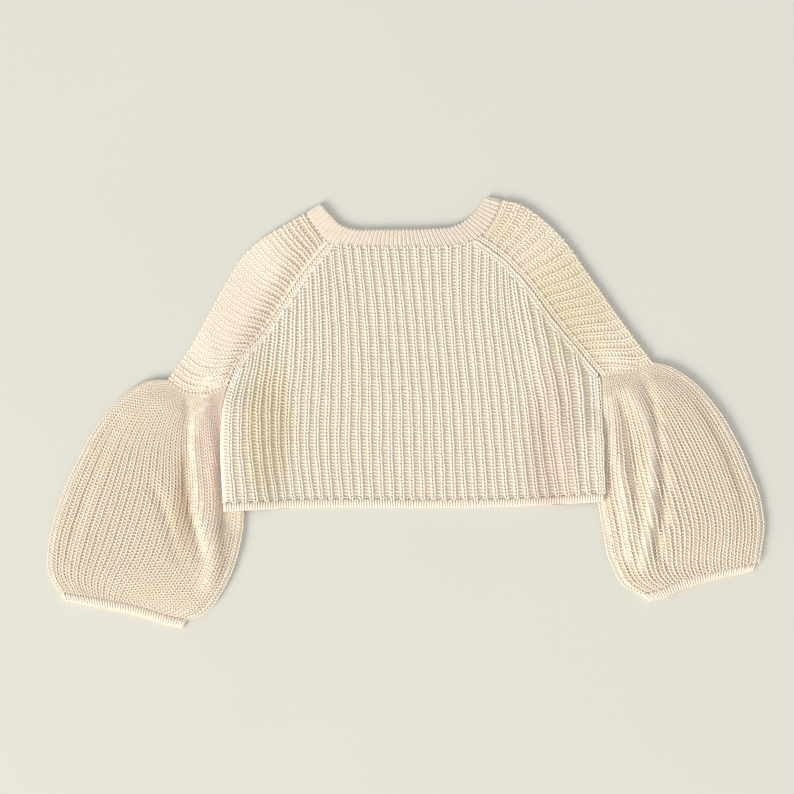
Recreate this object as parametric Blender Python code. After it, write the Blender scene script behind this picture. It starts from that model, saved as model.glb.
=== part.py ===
"""Cropped ribbed sweater with balloon sleeves, laid flat.

Sizes are in millimetres in the sweater's own frame: X across it, Y from its
hem to its neck and Z up from the surface it lies on. MM turns them into
metres when a mesh is made. The front half of every piece lies on its back
half, and "left" is the side at -X.
"""

import bmesh
import bpy
import numpy as np

MM = 0.001
CENTRE = (0.85, 0.0)  # middle of the outline, which becomes the origin

# Layers of the cloth, from the surface up
BACK_WALL = 3.2
LAYER_GAP = 0.4
FRONT_WALL = 2.6  # in the valley between two ribs
RIB_HEIGHT = 2.2  # crest of a rib above its valley
INSIDE_TOP = BACK_WALL + LAYER_GAP
VALLEY_TOP = INSIDE_TOP + FRONT_WALL
MAX_HOLLOW = 3.0  # most that the front half stands off the back half
EDGE_LIP = 1.0  # thickness left at the very edge of a panel
NOSE_RADIUS = 4.5  # roundness of a folded edge
NOSE_STEPS = (0.0, 0.12, 0.45)  # points round that edge, in radii
SEAM_GAP = 0.5
RAGLAN_GAP = 0.8  # the same, measured along an upper sleeve's ribs, which meet the seam at a slant

# Ribs
BODY_EDGE_RIBS = (-18.5, 19.0)  # rib numbers at the two side edges, 0 in the middle
EDGE_STEPS = (0.0, 0.08, 0.2)  # columns that round a side edge, in ribs from it
EDGE_CLEAR = 0.4  # no other column is as near to the edge as this
UPPER_SLEEVE_RIBS = 20
NECKBAND_RIBS = 50
NECKBAND_RIB_HEIGHT = 1.4

# Bands
HEM_DEPTH = 12.0
BAND_CROWN = 1.2  # a linked band's middle above its edges
HEM_ROWS = (0.0, 0.5, 1.0)  # fractions across a band, from its seam to its free edge
CUFF_ROWS = (0.04, 0.5, 1.0)
NECKBAND_ROWS = (0.03, 1.0)
CUFF_DROP = 0.5  # share of the sleeve's lift that is gone at a cuff's free edge

# How the layers stack where the body lies over the balloon sleeves
EDGE_LIFT = 7.2
LEFT_STRIP = (-214, -162)  # the lift fades out between these X
LEFT_RAMP = (46, -4)  # and starts between these Y
RIGHT_RAMP = (12, -38)
RIGHT_DROP = (236, 262)
CREASE_WIDTH = 28
LOW_TAPER = 25  # the right half's lift fades out over this distance from the upper outline
HIGH_TAPER = 45  # and over this one above TAPER_CHANGE
TAPER_CHANGE = 30
COVER_EDGE = (-10, -2)  # a covered sleeve is thinned between these distances
COVER_END = (-180, -156)
PUFF = 4.5  # how far a balloon's middle stands up
SLEEVE_PUFF = 2.0
PUFF_EDGE = (3, 36)  # distance from an edge over which the puff grows

# How those change from a sleeve's upper end, 0, to its lower end, 1
PUFF_START = (0.0, 0.15)
PUFF_END = (0.85, 1.0)
PUFF_LOSS = 0.7
FOLD_END = (0.9, 1.0)
FOLD_LOSS = 0.6
SLEEVE_PUFF_START = (0.05, 0.3)
SLEEVE_FOLD_START = (0.5, 0.9)
LEAN_START = (0.1, 0.6)
LEAN_END = (0.75, 1.0)

# Outlines, as (x, y)
HEM = [(-251, -137), (-146, -132), (49, -132), (160, -130), (275, -123)]
SIDE_LEFT = [(-251, -137), (-255, -94), (-255, -38), (-251, 10), (-243, 41)]
SIDE_RIGHT = [(275, -123), (276, -94), (273, -59), (270, -10), (269, 52)]
BAND_SEAM = [(-137, 277), (-119, 249), (-105, 235), (-83, 230), (-40, 228), (0, 228),
             (40, 228), (69, 230), (98, 240), (115, 257), (126, 277), (132, 295)]
BAND_EDGE = [(-118, 289), (-104, 273), (-90, 259), (-72, 253), (-36, 252), (0, 252),
             (36, 253), (66, 256), (83, 264), (98, 277), (108, 288), (115, 299)]
RAGLAN_LEFT = [(-105, 235), (-146, 185), (-173, 145), (-201, 105), (-229, 74), (-243, 41)]
RAGLAN_RIGHT = [(98, 240), (132, 216), (158, 191), (205, 130), (251, 74), (269, 52)]

# Ribs of the body that guide the others: rib number, then its X at each of these Y
RIB_LEVELS = (-123, -38, 17, 73, 156, 225)
GUIDE_RIBS = [
    (-18.5, -252, -255, -250, -233, -215, -195),
    (-15, -198, -208, -208, -200, -190, -184),
    (-10, -135, -143, -141, -137, -137, -140),
    (0, 4, 1, 0, -4, -11, -19),
    (10, 148, 140, 135, 128, 119, 119),
    (15, 219, 207, 201, 190, 173, 162),
    (19, 275, 271.5, 269.8, 266, 250, 235),
]

# Crease of the body's right half: Y, its X there and the height of the cloth beyond it
CREASE = [(-125, 209, 7.2), (-94, 205, 7.2), (-24, 194, 7), (59, 166, 4), (128, 145, 1), (150, 140, 0)]

# Each sleeve's outlines from its outer end to its inner one or from neck to cuff, the
# ribs on its balloon's front half and how far they lean to the inner fold, and its
# folds as (x, y, height), where a trough's height is negative
SLEEVES = {
    "left": {
        "ribs": 24,
        "lean": 1.0,
        "inner_corner": (-244.2, 41),
        "shoulder": [(-137, 277), (-166, 260), (-201, 239), (-225, 216), (-243, 188),
                     (-269, 141), (-298, 89), (-329, 45)],
        "elbow": [(-329, 45), (-305, 29), (-288, 26), (-270, 28), (-254, 34), (-244.2, 41)],
        "outer": [(-329, 45), (-354, 44), (-372, 36), (-395, 17), (-423, -16), (-451, -67),
                  (-476, -127), (-491, -184), (-491, -222), (-476, -249)],
        "inner": [(-244.2, 41), (-249, 24), (-252.4, 6), (-249, -16), (-240, -52), (-225, -138),
                  (-232, -191), (-254, -246), (-279, -277), (-301, -286)],
        "cuff_top": [(-476, -249), (-423, -256), (-368, -267), (-320, -282), (-301, -286)],
        "cuff_end": [(-470, -261), (-423, -270), (-368, -282), (-323, -296), (-307, -299)],
        "folds": {
            "pleat": (12, [(-268, 101, 1), (-273, 38, 3), (-277, 17, 5), (-291, -24, 6.5),
                           (-288, -80, 7), (-280, -149, 7), (-270, -205, 5), (-277, -246, 3)]),
            "deep": (7, [(-301, 17, -3), (-301, -52, -6), (-304, -94, -6), (-298, -135, -6),
                         (-288, -177, -5), (-284, -205, -2)]),
            "side": (8, [(-273, 10, 1), (-270, -24, 3), (-268, -66, 4.5), (-265, -121, 4.5),
                         (-263, -170, 4), (-260, -212, 2.5), (-266, -246, 1)]),
            "lobe": (8, [(-354, -94, -1), (-340, -121, -3), (-326, -163, -3), (-315, -205, -2)]),
            "rim": (8, [(-395, -10, -1.5), (-430, -80, -2.5), (-458, -163, -2.5), (-465, -205, -1)]),
        },
    },
    "right": {
        "ribs": 17,
        "lean": -1.1,
        "inner_corner": (270.2, 52),
        "shoulder": [(132, 295), (160, 288), (187, 271), (215, 245), (257, 188), (298, 130),
                     (326, 92), (343, 70)],
        "elbow": [(343, 70), (333, 62), (315, 58), (295, 55), (270.2, 52)],
        "outer": [(343, 70), (368, 63), (395, 45), (423, 15), (451, -28), (476, -84),
                  (491, -128), (494, -156), (488, -207)],
        "inner": [(270.2, 52), (271.2, 17), (272.2, -18), (271, -45), (268, -101), (277, -156),
                  (287, -205), (305, -238), (326, -250)],
        "cuff_top": [(488, -207), (437, -217), (388, -230), (347, -245), (326, -250)],
        "cuff_end": [(481, -221), (437, -230), (388, -243), (354, -259), (337, -261)],
        "folds": {
            "pleat": (10, [(306, 30, 1), (321, 7, 3), (332, -16, 4.5), (339, -45, 5.5), (339, -91, 6),
                           (337, -135, 6), (330, -185, 4), (326, -215, 2)]),
            "ridge": (9, [(282, 17, 1), (287, -38, 3), (297, -94, 4), (303, -149, 4), (309, -205, 2)]),
            "deep": (7, [(330, 45, -3), (340, 17, -4), (347, -38, -5), (354, -94, -6),
                         (354, -149, -6), (347, -184, -5), (361, -218, -2)]),
            "side": (6, [(298, 17, -3), (308, -24, -5), (316, -80, -5), (319, -121, -2)]),
            "rim": (8, [(412, 10, -1.5), (446, -60, -2.5), (466, -130, -2.5), (462, -190, -1)]),
        },
    },
}

# How finely the solids are cut
BODY_ROWS = 13
INSIDE_RIB_STEP = 1.5  # ribs between two columns of a plain side
BALLOON_ROWS = 14
BALLOON_PLAIN_SPANS = 18
NECKBAND_PLAIN_SPANS = 25
CUFF_SPANS = 12
HEM_SPANS = 34
SLEEVE_SPANS = 7
SLEEVE_PLAIN_SPANS = 4
LOW_REACH = 0.05  # the hollow stays under every fold within this fraction of the width
CURVE_POINTS = 240
FOLD_STEP = 6  # a fold is measured from every so many points of its curve
TRACK_MARGIN = 20  # the body's ribs are tracked from this far below their lowest level
TRACK_TOP = 250
TRACK_POINTS = 600

# Colours (linear) of the yarn
BODY_YARN = (0.78, 0.69, 0.55)
SLEEVE_YARN = (0.73, 0.62, 0.46)
BAND_YARN = (0.76, 0.66, 0.51)


def ease(value, low, high):
    """0 at low, 1 at high and smooth between them; low may be the larger one."""
    t = np.clip((value - low) / (high - low), 0, 1)
    return t * t * (3 - 2 * t)


def blend(knots, values, at):
    """A smooth curve through the values at the knots, read at other places."""
    knots = np.asarray(knots, float)
    values = np.asarray(values, float)
    slopes = np.gradient(values, knots, axis=0)
    i = np.clip(np.searchsorted(knots, at) - 1, 0, len(knots) - 2)
    span = knots[i + 1] - knots[i]
    t = (at - knots[i]) / span
    if values.ndim > 1:
        span, t = span[:, None], t[:, None]
    start = (2 * t**3 - 3 * t**2 + 1) * values[i] + (t**3 - 2 * t**2 + t) * span * slopes[i]
    end = (3 * t**2 - 2 * t**3) * values[i + 1] + (t**3 - t**2) * span * slopes[i + 1]
    return start + end


def smooth_curve(points):
    """Points at even steps along the smooth curve through a table's rows."""
    points = np.array(points, float)
    steps = np.linalg.norm(np.diff(points[:, :2], axis=0), axis=1)
    length = np.concatenate([[0], np.cumsum(steps)])
    return blend(length, points, np.linspace(0, length[-1], CURVE_POINTS))


def along(curve, fraction):
    """The curve's points at fractions of its length."""
    at = np.asarray(fraction, float) * (len(curve) - 1)
    whole = np.arange(len(curve))
    return np.stack([np.interp(at, whole, curve[:, i]) for i in range(curve.shape[1])], -1)


def section(curve, start, end):
    """The stretch of a curve between the places nearest to two points."""
    first, last = (np.argmin(np.linalg.norm(curve - point, axis=1)) for point in (start, end))
    return along(curve, np.linspace(first, last, CURVE_POINTS) / (len(curve) - 1))


def coons(west, east, north, south):
    """Plan of a patch between four curves: u from west to east, v from north to south."""

    def plan(u, v):
        u, v = np.broadcast_arrays(np.asarray(u, float), np.asarray(v, float))
        a, b = u[..., None], v[..., None]
        sides = (1 - a) * along(west, v) + a * along(east, v)
        ends = (1 - b) * along(north, u) + b * along(south, u)
        corners = (1 - b) * ((1 - a) * north[0] + a * north[-1]) + b * ((1 - a) * south[0] + a * south[-1])
        return sides + ends - corners

    return plan


def ruled(north, south):
    """Plan of a band between two curves: u along them, v across."""

    def plan(u, v):
        u, v = np.broadcast_arrays(np.asarray(u, float), np.asarray(v, float))
        b = v[..., None]
        return (1 - b) * along(north, u) + b * along(south, u)

    return plan


def fold_height(folds, points):
    """Sum of a sleeve's ridges and troughs over plan points."""
    total = np.zeros(points.shape[:-1])
    for width, rows in folds.values():
        route = smooth_curve(rows)[::FOLD_STEP]
        far = np.linalg.norm(points[..., None, :] - route[:, :2], axis=-1)
        near = far.argmin(-1)
        total += route[near, 2] * np.exp(-((far.min(-1) / width) ** 2))
    return total


def side_x(side, y):
    """X of the body's side edge."""
    rows = np.array(sorted({"left": SIDE_LEFT, "right": SIDE_RIGHT}[side], key=lambda row: row[1]))
    return np.interp(y, rows[:, 1], rows[:, 0])


def cover(side, points):
    """1 where the body lies over a sleeve, 0 clear of it."""
    x, y = points[..., 0], points[..., 1]
    inward = x - side_x(side, y) if side == "left" else side_x(side, y) - x
    return ease(inward, *COVER_EDGE) * ease(y, *COVER_END)


def body_top(x):
    """Y of the body's upper outline: both raglans and the neckline, less the seam gap."""
    left = smooth_curve(RAGLAN_LEFT)[::-1]
    right = smooth_curve(RAGLAN_RIGHT)
    neck = section(smooth_curve(BAND_SEAM), RAGLAN_LEFT[0], RAGLAN_RIGHT[0])
    outline = np.vstack([left[:-1], neck, right[1:]])
    slope = np.gradient(outline[:, 1], outline[:, 0])
    lowered = outline[:, 1] - SEAM_GAP * np.hypot(1, slope)
    return np.interp(x, outline[:, 0], lowered)


def hem_seam(x):
    """Y of the seam between the body and its hem band."""
    line = smooth_curve(HEM)
    return np.interp(x, line[:, 0], line[:, 1]) + HEM_DEPTH


def body_rise(points):
    """How far the body's two layers are lifted off the surface."""
    x, y = points[..., 0], points[..., 1]
    left = EDGE_LIFT * ease(y, *LEFT_RAMP) * ease(x, LEFT_STRIP[1], LEFT_STRIP[0])
    level, crease_x, height = np.array(CREASE, float).T
    valley = np.interp(y, level, crease_x)
    right = np.interp(y, level, height) * ease(x, valley, valley + CREASE_WIDTH)
    right *= 1 - ease(y, RIGHT_RAMP[1], RIGHT_RAMP[0]) * ease(x, *RIGHT_DROP)
    below_top = body_top(x) - y
    high = ease(y, 0, TAPER_CHANGE)
    right *= (1 - high) * ease(below_top, 0, LOW_TAPER) + high * ease(below_top, 0, HIGH_TAPER)
    return left + right


def nose(distance):
    """Height factor of a rounded edge at a distance from it."""
    q = np.clip(distance / NOSE_RADIUS, 0, 1)
    return np.sqrt(1 - (1 - q) ** 2)


def body_columns(ribs):
    """Grid of plan points over the body: a column for each rib number, rows from hem to top."""
    table = np.array(GUIDE_RIBS, float)
    y = np.linspace(RIB_LEVELS[0] - TRACK_MARGIN, TRACK_TOP, TRACK_POINTS)
    columns = []
    for rib in ribs:
        guide = blend(table[:, 0], table[:, 1:], np.array([rib]))[0]
        x = blend(RIB_LEVELS, guide, y)
        bottom = np.interp(0, y - hem_seam(x), y) + SEAM_GAP
        top = y[np.argmax(y >= body_top(x))]
        rows = np.linspace(bottom, top, BODY_ROWS)
        columns.append(np.stack([blend(RIB_LEVELS, guide, rows), rows], -1))
    return np.stack(columns, 1)


def rib_numbers(step):
    """Rib numbers across the body, with some near each edge that round it."""
    first, last = BODY_EDGE_RIBS
    near = np.array(EDGE_STEPS)
    inner = np.arange(np.ceil(first), last - EDGE_CLEAR, step)
    return np.concatenate([first + near, inner, last - near[::-1]])


def strip(near, near_at, far, far_at):
    """Triangles between two lines of vertices, walked by their fractions."""
    faces = []
    i = j = 0
    while i < len(near) - 1 or j < len(far) - 1:
        step_near = near_at[i + 1] if i < len(near) - 1 else np.inf
        step_far = far_at[j + 1] if j < len(far) - 1 else np.inf
        if step_near <= step_far:
            faces.append((near[i], near[i + 1], far[j]))
            i += 1
        else:
            faces.append((near[i], far[j + 1], far[j]))
            j += 1
    return faces


def grid_faces(index, points, ring):
    """Two triangles for each cell of a grid of vertex numbers, cut along its shorter diagonal."""
    following = np.roll(index, -1, axis=1) if ring else index[:, 1:]
    current = index if ring else index[:, :-1]
    a, b = current[:-1].ravel(), following[:-1].ravel()
    d, e = current[1:].ravel(), following[1:].ravel()
    across = np.linalg.norm(points[a] - points[e], axis=1).round(3)
    other = np.linalg.norm(points[b] - points[d], axis=1).round(3)
    cut = across <= other
    first = np.where(cut, (a, b, e), (a, b, d))
    second = np.where(cut, (a, e, d), (b, e, d))
    return [*first.T.tolist(), *second.T.tolist()]


def wall(name, colour, outer, outer_at, inner, inner_at, ring=False):
    """One closed wall between an outer and an inner grid of points.

    The fractions say where each grid's columns stand, so that the coarser grid's
    edges can be joined to the finer one's. A ring's columns close on themselves.
    """
    outer_index = np.arange(outer[..., 0].size).reshape(outer.shape[:2])
    inner_index = np.arange(inner[..., 0].size).reshape(inner.shape[:2]) + outer_index.size
    points = np.vstack([outer.reshape(-1, 3), inner.reshape(-1, 3)]) - (*CENTRE, 0)
    faces = grid_faces(outer_index, points, ring) + grid_faces(inner_index, points, ring)
    for row in (0, -1):
        near, far = list(outer_index[row]), list(inner_index[row])
        near_at, far_at = list(outer_at), list(inner_at)
        if ring:
            near, far = near + near[:1], far + far[:1]
            near_at, far_at = near_at + [2.0], far_at + [2.0]
        faces += strip(near, near_at, far, far_at)
    if not ring:
        outer_rows, inner_rows = (np.linspace(0, 1, len(index)) for index in (outer_index, inner_index))
        for column in (0, -1):
            near, far = list(outer_index[:, column]), list(inner_index[:, column])
            faces += strip(near, outer_rows, far, inner_rows)
    mesh = bpy.data.meshes.new(name)
    mesh.from_pydata((points * MM).tolist(), [], [tuple(map(int, face)) for face in faces])
    bm = bmesh.new()
    bm.from_mesh(mesh)
    bmesh.ops.recalc_face_normals(bm, faces=bm.faces)
    bm.to_mesh(mesh)
    bm.free()
    mesh.shade_smooth()
    mesh.materials.append(yarn(name, colour))
    piece = bpy.data.objects.new(name, mesh)
    bpy.context.collection.objects.link(piece)
    return piece


def yarn(name, colour):
    """Matt knitted yarn."""
    material = bpy.data.materials.new(name + "_yarn")
    material.use_nodes = True
    shader = material.node_tree.nodes["Principled BSDF"]
    shader.inputs["Base Color"].default_value = (*colour, 1)
    shader.inputs["Roughness"].default_value = 0.9
    shader.inputs["Metallic"].default_value = 0.0
    return material


def with_height(points, height):
    """Plan points with their Z."""
    return np.concatenate([points, np.broadcast_to(height, points.shape[:-1])[..., None]], -1)


def front_panel():
    """Front: ribs raised over a plain inside, its side edges rounded down."""
    ribs = rib_numbers(0.5)
    plan = body_columns(ribs)
    crest = np.where(np.isclose(ribs % 1, 0.5), RIB_HEIGHT, 0)
    seam = body_rise(plan) + INSIDE_TOP
    edge = np.minimum(np.abs(plan[..., 0] - plan[:, :1, 0]), np.abs(plan[..., 0] - plan[:, -1:, 0]))
    outer = with_height(plan, seam + EDGE_LIP + (FRONT_WALL - EDGE_LIP + crest) * nose(edge))
    plain = rib_numbers(INSIDE_RIB_STEP)
    plan = body_columns(plain)
    inner = with_height(plan, body_rise(plan) + INSIDE_TOP)
    return wall("front_panel", BODY_YARN, outer, ribs, inner, plain)


def back_panel():
    """Back: plain underneath, where it lies on the surface and on the sleeves."""
    ribs = rib_numbers(INSIDE_RIB_STEP)
    plan = body_columns(ribs)
    rise = body_rise(plan)
    edge = np.minimum(np.abs(plan[..., 0] - plan[:, :1, 0]), np.abs(plan[..., 0] - plan[:, -1:, 0]))
    under = with_height(plan, rise + (BACK_WALL - EDGE_LIP) * (1 - nose(edge)))
    inner = with_height(plan, rise + BACK_WALL)
    return wall("back_panel", BODY_YARN, under, ribs, inner, ribs)


def fractions_across(width, spans, inset):
    """Fractions across a flattened tube: some close to each folded edge, the rest even."""
    close = (inset + NOSE_RADIUS * np.array(NOSE_STEPS)) / width
    first = (inset + NOSE_RADIUS) / width
    return np.concatenate([close, np.linspace(first, 1 - first, spans + 1), 1 - close[::-1]])


def tube_skin(plan, rows, top_spans, bottom_spans, inset, heights):
    """One skin of a flattened tube: over the top from the outer edge, back underneath.

    heights(points, u, v) gives the skin's top, its bottom and the edge's own height.
    """
    skin = []
    for v in rows:
        width = np.linalg.norm(plan(1, v) - plan(0, v))
        halves = []
        for spans, which in ((top_spans, 0), (bottom_spans, 1)):
            u = fractions_across(width, spans, inset)
            points = plan(u, v)
            levels = heights(points, u, v)
            middle = levels[2]
            reach = np.minimum(u, 1 - u) * width - inset
            halves.append(with_height(points, middle + (levels[which] - middle) * nose(reach)))
        skin.append(np.vstack([halves[0], halves[1][-2:0:-1]]))
    return np.stack(skin)


def ring_fractions(top_spans, bottom_spans):
    """Fractions round a skin: 0 to 1 over the top and 1 to 2 back underneath."""
    top = np.linspace(0, 1, top_spans + 1 + 2 * len(NOSE_STEPS))
    bottom = np.linspace(2, 1, bottom_spans + 1 + 2 * len(NOSE_STEPS))
    return np.concatenate([top, bottom[-2:0:-1]])


def flat_tube(
    name, colour, plan, rows, spans, inner_spans, rib_height, rise, crown=0.0, hollow=MAX_HOLLOW
):
    """A flattened tube, open at both ends, with a rib on every second span of its upper side.

    rise(points, u, v) lifts its front half, and the back half lies up to a hollow lower.
    """
    reach = LOW_REACH if hollow else 0

    def low_rise(u, v):
        around = [np.clip(u + step, 0, 1) for step in (-reach, 0, reach)]
        return np.min([rise(plan(at, v), at, v)[0] for at in around], axis=0)

    def outer_heights(points, u, v):
        lift, relief = rise(points, u, v)
        under = np.maximum(0, low_rise(u, v) - hollow)
        number = np.clip(np.arange(len(u)) - len(NOSE_STEPS), 0, spans)
        crest = rib_height * (number % 2) * relief + crown * 4 * v * (1 - v)
        return lift + VALLEY_TOP + crest, under, under + BACK_WALL + LAYER_GAP / 2

    def inner_heights(points, u, v):
        low = low_rise(u, v)
        under = np.maximum(0, low - hollow)
        return low + INSIDE_TOP, under + BACK_WALL, under + BACK_WALL + LAYER_GAP / 2

    outer = tube_skin(plan, rows, spans, inner_spans, 0, outer_heights)
    inner = tube_skin(plan, rows, inner_spans, inner_spans, BACK_WALL, inner_heights)
    return wall(
        name, colour, outer, ring_fractions(spans, inner_spans),
        inner, ring_fractions(inner_spans, inner_spans), ring=True,
    )


def balloon_plan(side):
    """Plan of a balloon sleeve: u from its outer fold to its inner one, v from elbow to cuff."""
    shape = SLEEVES[side]
    patch = coons(*(smooth_curve(shape[name]) for name in ("outer", "inner", "elbow", "cuff_top")))

    def plan(u, v):
        u = np.asarray(u, float)
        lean = shape["lean"] * ease(v, *LEAN_START) * (1 - ease(v, *LEAN_END))
        return patch(u + lean * (u * (1 - u)) ** 2, v)

    return plan


def balloon_rise(side, plan):
    """Puff and folds of a balloon sleeve, pressed flat where the body lies over it."""
    folds = SLEEVES[side]["folds"]

    def rise(points, u, v):
        width = np.linalg.norm(plan(1, v) - plan(0, v))
        edge = ease(np.minimum(u, 1 - u) * width, *PUFF_EDGE)
        puff = PUFF * edge * ease(v, *PUFF_START) * (1 - PUFF_LOSS * ease(v, *PUFF_END))
        clear = 1 - cover(side, points)
        creased = fold_height(folds, points) * (1 - FOLD_LOSS * ease(v, *FOLD_END))
        return np.maximum(0, puff + creased) * clear, clear

    return rise


def balloon(side):
    """Lower sleeve: a wide ribbed tube gathered at the elbow and at the cuff."""
    plan = balloon_plan(side)
    length = np.linalg.norm(plan(0.5, 1) - plan(0.5, 0))
    rows = np.linspace(SEAM_GAP / length, 1 - SEAM_GAP / length, BALLOON_ROWS)
    return flat_tube(
        "balloon_" + side, SLEEVE_YARN, plan, rows, 2 * SLEEVES[side]["ribs"], BALLOON_PLAIN_SPANS,
        RIB_HEIGHT, balloon_rise(side, plan),
    )


def cuff(side):
    """Cuff band: a narrow linked ring that gathers the balloon's end."""
    shape = SLEEVES[side]
    plan = ruled(smooth_curve(shape["cuff_top"]), smooth_curve(shape["cuff_end"]))
    sleeve = balloon_rise(side, balloon_plan(side))

    def rise(points, u, v):
        lift, clear = sleeve(plan(u, 0), u, 1.0)
        return lift * (1 - CUFF_DROP * v), clear

    return flat_tube(
        "cuff_" + side, BAND_YARN, plan, CUFF_ROWS, CUFF_SPANS, CUFF_SPANS, 0, rise, BAND_CROWN
    )


def hem_band():
    """Hem band: a narrow linked ring along the body's lower edge."""
    line = smooth_curve(HEM)
    plan = ruled(line + (0, HEM_DEPTH), line)

    def rise(points, u, v):
        return body_rise(points), 1.0

    return flat_tube(
        "hem_band", BAND_YARN, plan, HEM_ROWS, HEM_SPANS, HEM_SPANS, 0, rise, BAND_CROWN, hollow=0
    )


def neckband():
    """Neckband: a ribbed ring, its front half on its back half, folded at both shoulders."""
    plan = ruled(smooth_curve(BAND_SEAM), smooth_curve(BAND_EDGE))

    def rise(points, u, v):
        return np.zeros(len(u)), 1.0

    return flat_tube(
        "neckband", BAND_YARN, plan, NECKBAND_ROWS, 2 * NECKBAND_RIBS, NECKBAND_PLAIN_SPANS,
        NECKBAND_RIB_HEIGHT, rise,
    )


def upper_sleeve_plan(side):
    """Plan of an upper sleeve: u from its raglan to its shoulder fold, v from neck to elbow."""
    shape = SLEEVES[side]
    band = smooth_curve(BAND_SEAM)
    raglan = {"left": RAGLAN_LEFT, "right": RAGLAN_RIGHT}[side]
    tip = shape["shoulder"][0]
    return coons(
        smooth_curve(raglan[:-1] + [shape["inner_corner"]]),
        smooth_curve(shape["shoulder"]),
        section(band, raglan[0], tip),
        smooth_curve(shape["elbow"])[::-1],
    )


def upper_sleeve_rise(side, plan, u, v):
    """How far an upper sleeve's front half is lifted."""
    width = np.linalg.norm(plan(1, v) - plan(0, v))
    edge = ease(np.minimum(u, 1 - u) * width, *PUFF_EDGE)
    puff = SLEEVE_PUFF * edge * ease(v, *SLEEVE_PUFF_START) * (1 - ease(v, *PUFF_END))
    creased = fold_height(SLEEVES[side]["folds"], plan(u, v)) * ease(v, *SLEEVE_FOLD_START)
    return np.maximum(0, puff + creased)


def upper_sleeve_row(side, plan, v, spans, inset, heights):
    """One row of a skin: from the front raglan over the fold to the back raglan."""
    width = np.linalg.norm(plan(1, v) - plan(0, v))
    close = 1 - (inset + NOSE_RADIUS * np.array(NOSE_STEPS[::-1])) / width
    last = 1 - (inset + NOSE_RADIUS) / width
    halves = []
    for which in (0, 1):
        u = np.concatenate([np.linspace(RAGLAN_GAP / width, last, spans[which] + 1), close])
        lift = upper_sleeve_rise(side, plan, u, v)
        under = np.maximum(0, lift - MAX_HOLLOW)
        middle = under + BACK_WALL + LAYER_GAP / 2
        height = (lift + heights[0], under + heights[1])[which]
        rounding = nose((1 - u) * width - inset)
        halves.append(with_height(plan(u, v), middle + (height - middle) * rounding))
    return np.vstack([halves[0], halves[1][-2::-1]])


def upper_sleeve(side):
    """Upper sleeve: a sheet from the front raglan over the shoulder fold to the back raglan."""
    plan = upper_sleeve_plan(side)
    length = np.linalg.norm(plan(0.5, 1) - plan(0.5, 0))
    rows = np.linspace(SEAM_GAP / length, 1 - SEAM_GAP / length, 2 * UPPER_SLEEVE_RIBS + 1)
    plain = (SLEEVE_PLAIN_SPANS, SLEEVE_PLAIN_SPANS)
    outer = [
        upper_sleeve_row(
            side, plan, v, (SLEEVE_SPANS, SLEEVE_PLAIN_SPANS), 0,
            (VALLEY_TOP + RIB_HEIGHT * (number % 2), 0),
        )
        for number, v in enumerate(rows)
    ]
    inner = [
        upper_sleeve_row(side, plan, v, plain, BACK_WALL, (INSIDE_TOP, BACK_WALL)) for v in rows[::2]
    ]
    round_fold = len(NOSE_STEPS)
    outer_at = np.concatenate([
        np.linspace(0, 1, SLEEVE_SPANS + 1 + round_fold),
        np.linspace(1, 2, SLEEVE_PLAIN_SPANS + 1 + round_fold)[1:],
    ])
    inner_at = np.linspace(0, 2, len(inner[0]))
    return wall(
        "sleeve_upper_" + side, SLEEVE_YARN, np.stack(outer), outer_at, np.stack(inner), inner_at
    )


def main():
    for obj in list(bpy.data.objects):
        bpy.data.objects.remove(obj)
    front_panel()
    back_panel()
    hem_band()
    neckband()
    for side in SLEEVES:
        upper_sleeve(side)
        balloon(side)
        cuff(side)


main()
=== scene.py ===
"""Cropped ribbed sweater with balloon sleeves, laid flat: the finished knit.

Shapes are worked out in millimetres in the sweater's own frame, X across it, Y
from its hem to its neck and Z up from the surface. Each cloth piece is a thin
closed shell, and the stitches on it are loops of yarn set along guide lines.
"""

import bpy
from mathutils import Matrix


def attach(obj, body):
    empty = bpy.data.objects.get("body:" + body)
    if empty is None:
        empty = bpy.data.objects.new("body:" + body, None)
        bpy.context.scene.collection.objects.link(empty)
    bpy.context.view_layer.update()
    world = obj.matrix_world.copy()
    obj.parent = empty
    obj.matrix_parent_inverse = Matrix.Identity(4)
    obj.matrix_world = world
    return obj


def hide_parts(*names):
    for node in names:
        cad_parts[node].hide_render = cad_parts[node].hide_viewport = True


bl_info = {
    "name": "Ribbed sweater",
    "version": (1, 0, 0),
    "blender": (4, 5, 0),
    "location": "View3D > Sidebar > Knitwear",
    "description": "Builds a cropped ribbed sweater, its stitches and its stage",
    "category": "Object",
}

import bmesh
import bpy
import numpy as np
from bpy.props import FloatProperty, FloatVectorProperty, PointerProperty

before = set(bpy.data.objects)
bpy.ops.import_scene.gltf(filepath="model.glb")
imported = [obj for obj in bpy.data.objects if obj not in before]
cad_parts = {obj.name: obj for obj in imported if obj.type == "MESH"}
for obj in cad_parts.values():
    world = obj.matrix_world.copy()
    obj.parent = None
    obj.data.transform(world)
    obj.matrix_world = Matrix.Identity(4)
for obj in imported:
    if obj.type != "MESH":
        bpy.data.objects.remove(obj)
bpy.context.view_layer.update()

MM = 0.001
CENTRE = (0.85, 0.0)  # middle of the outline, which is the origin of the frame

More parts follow.
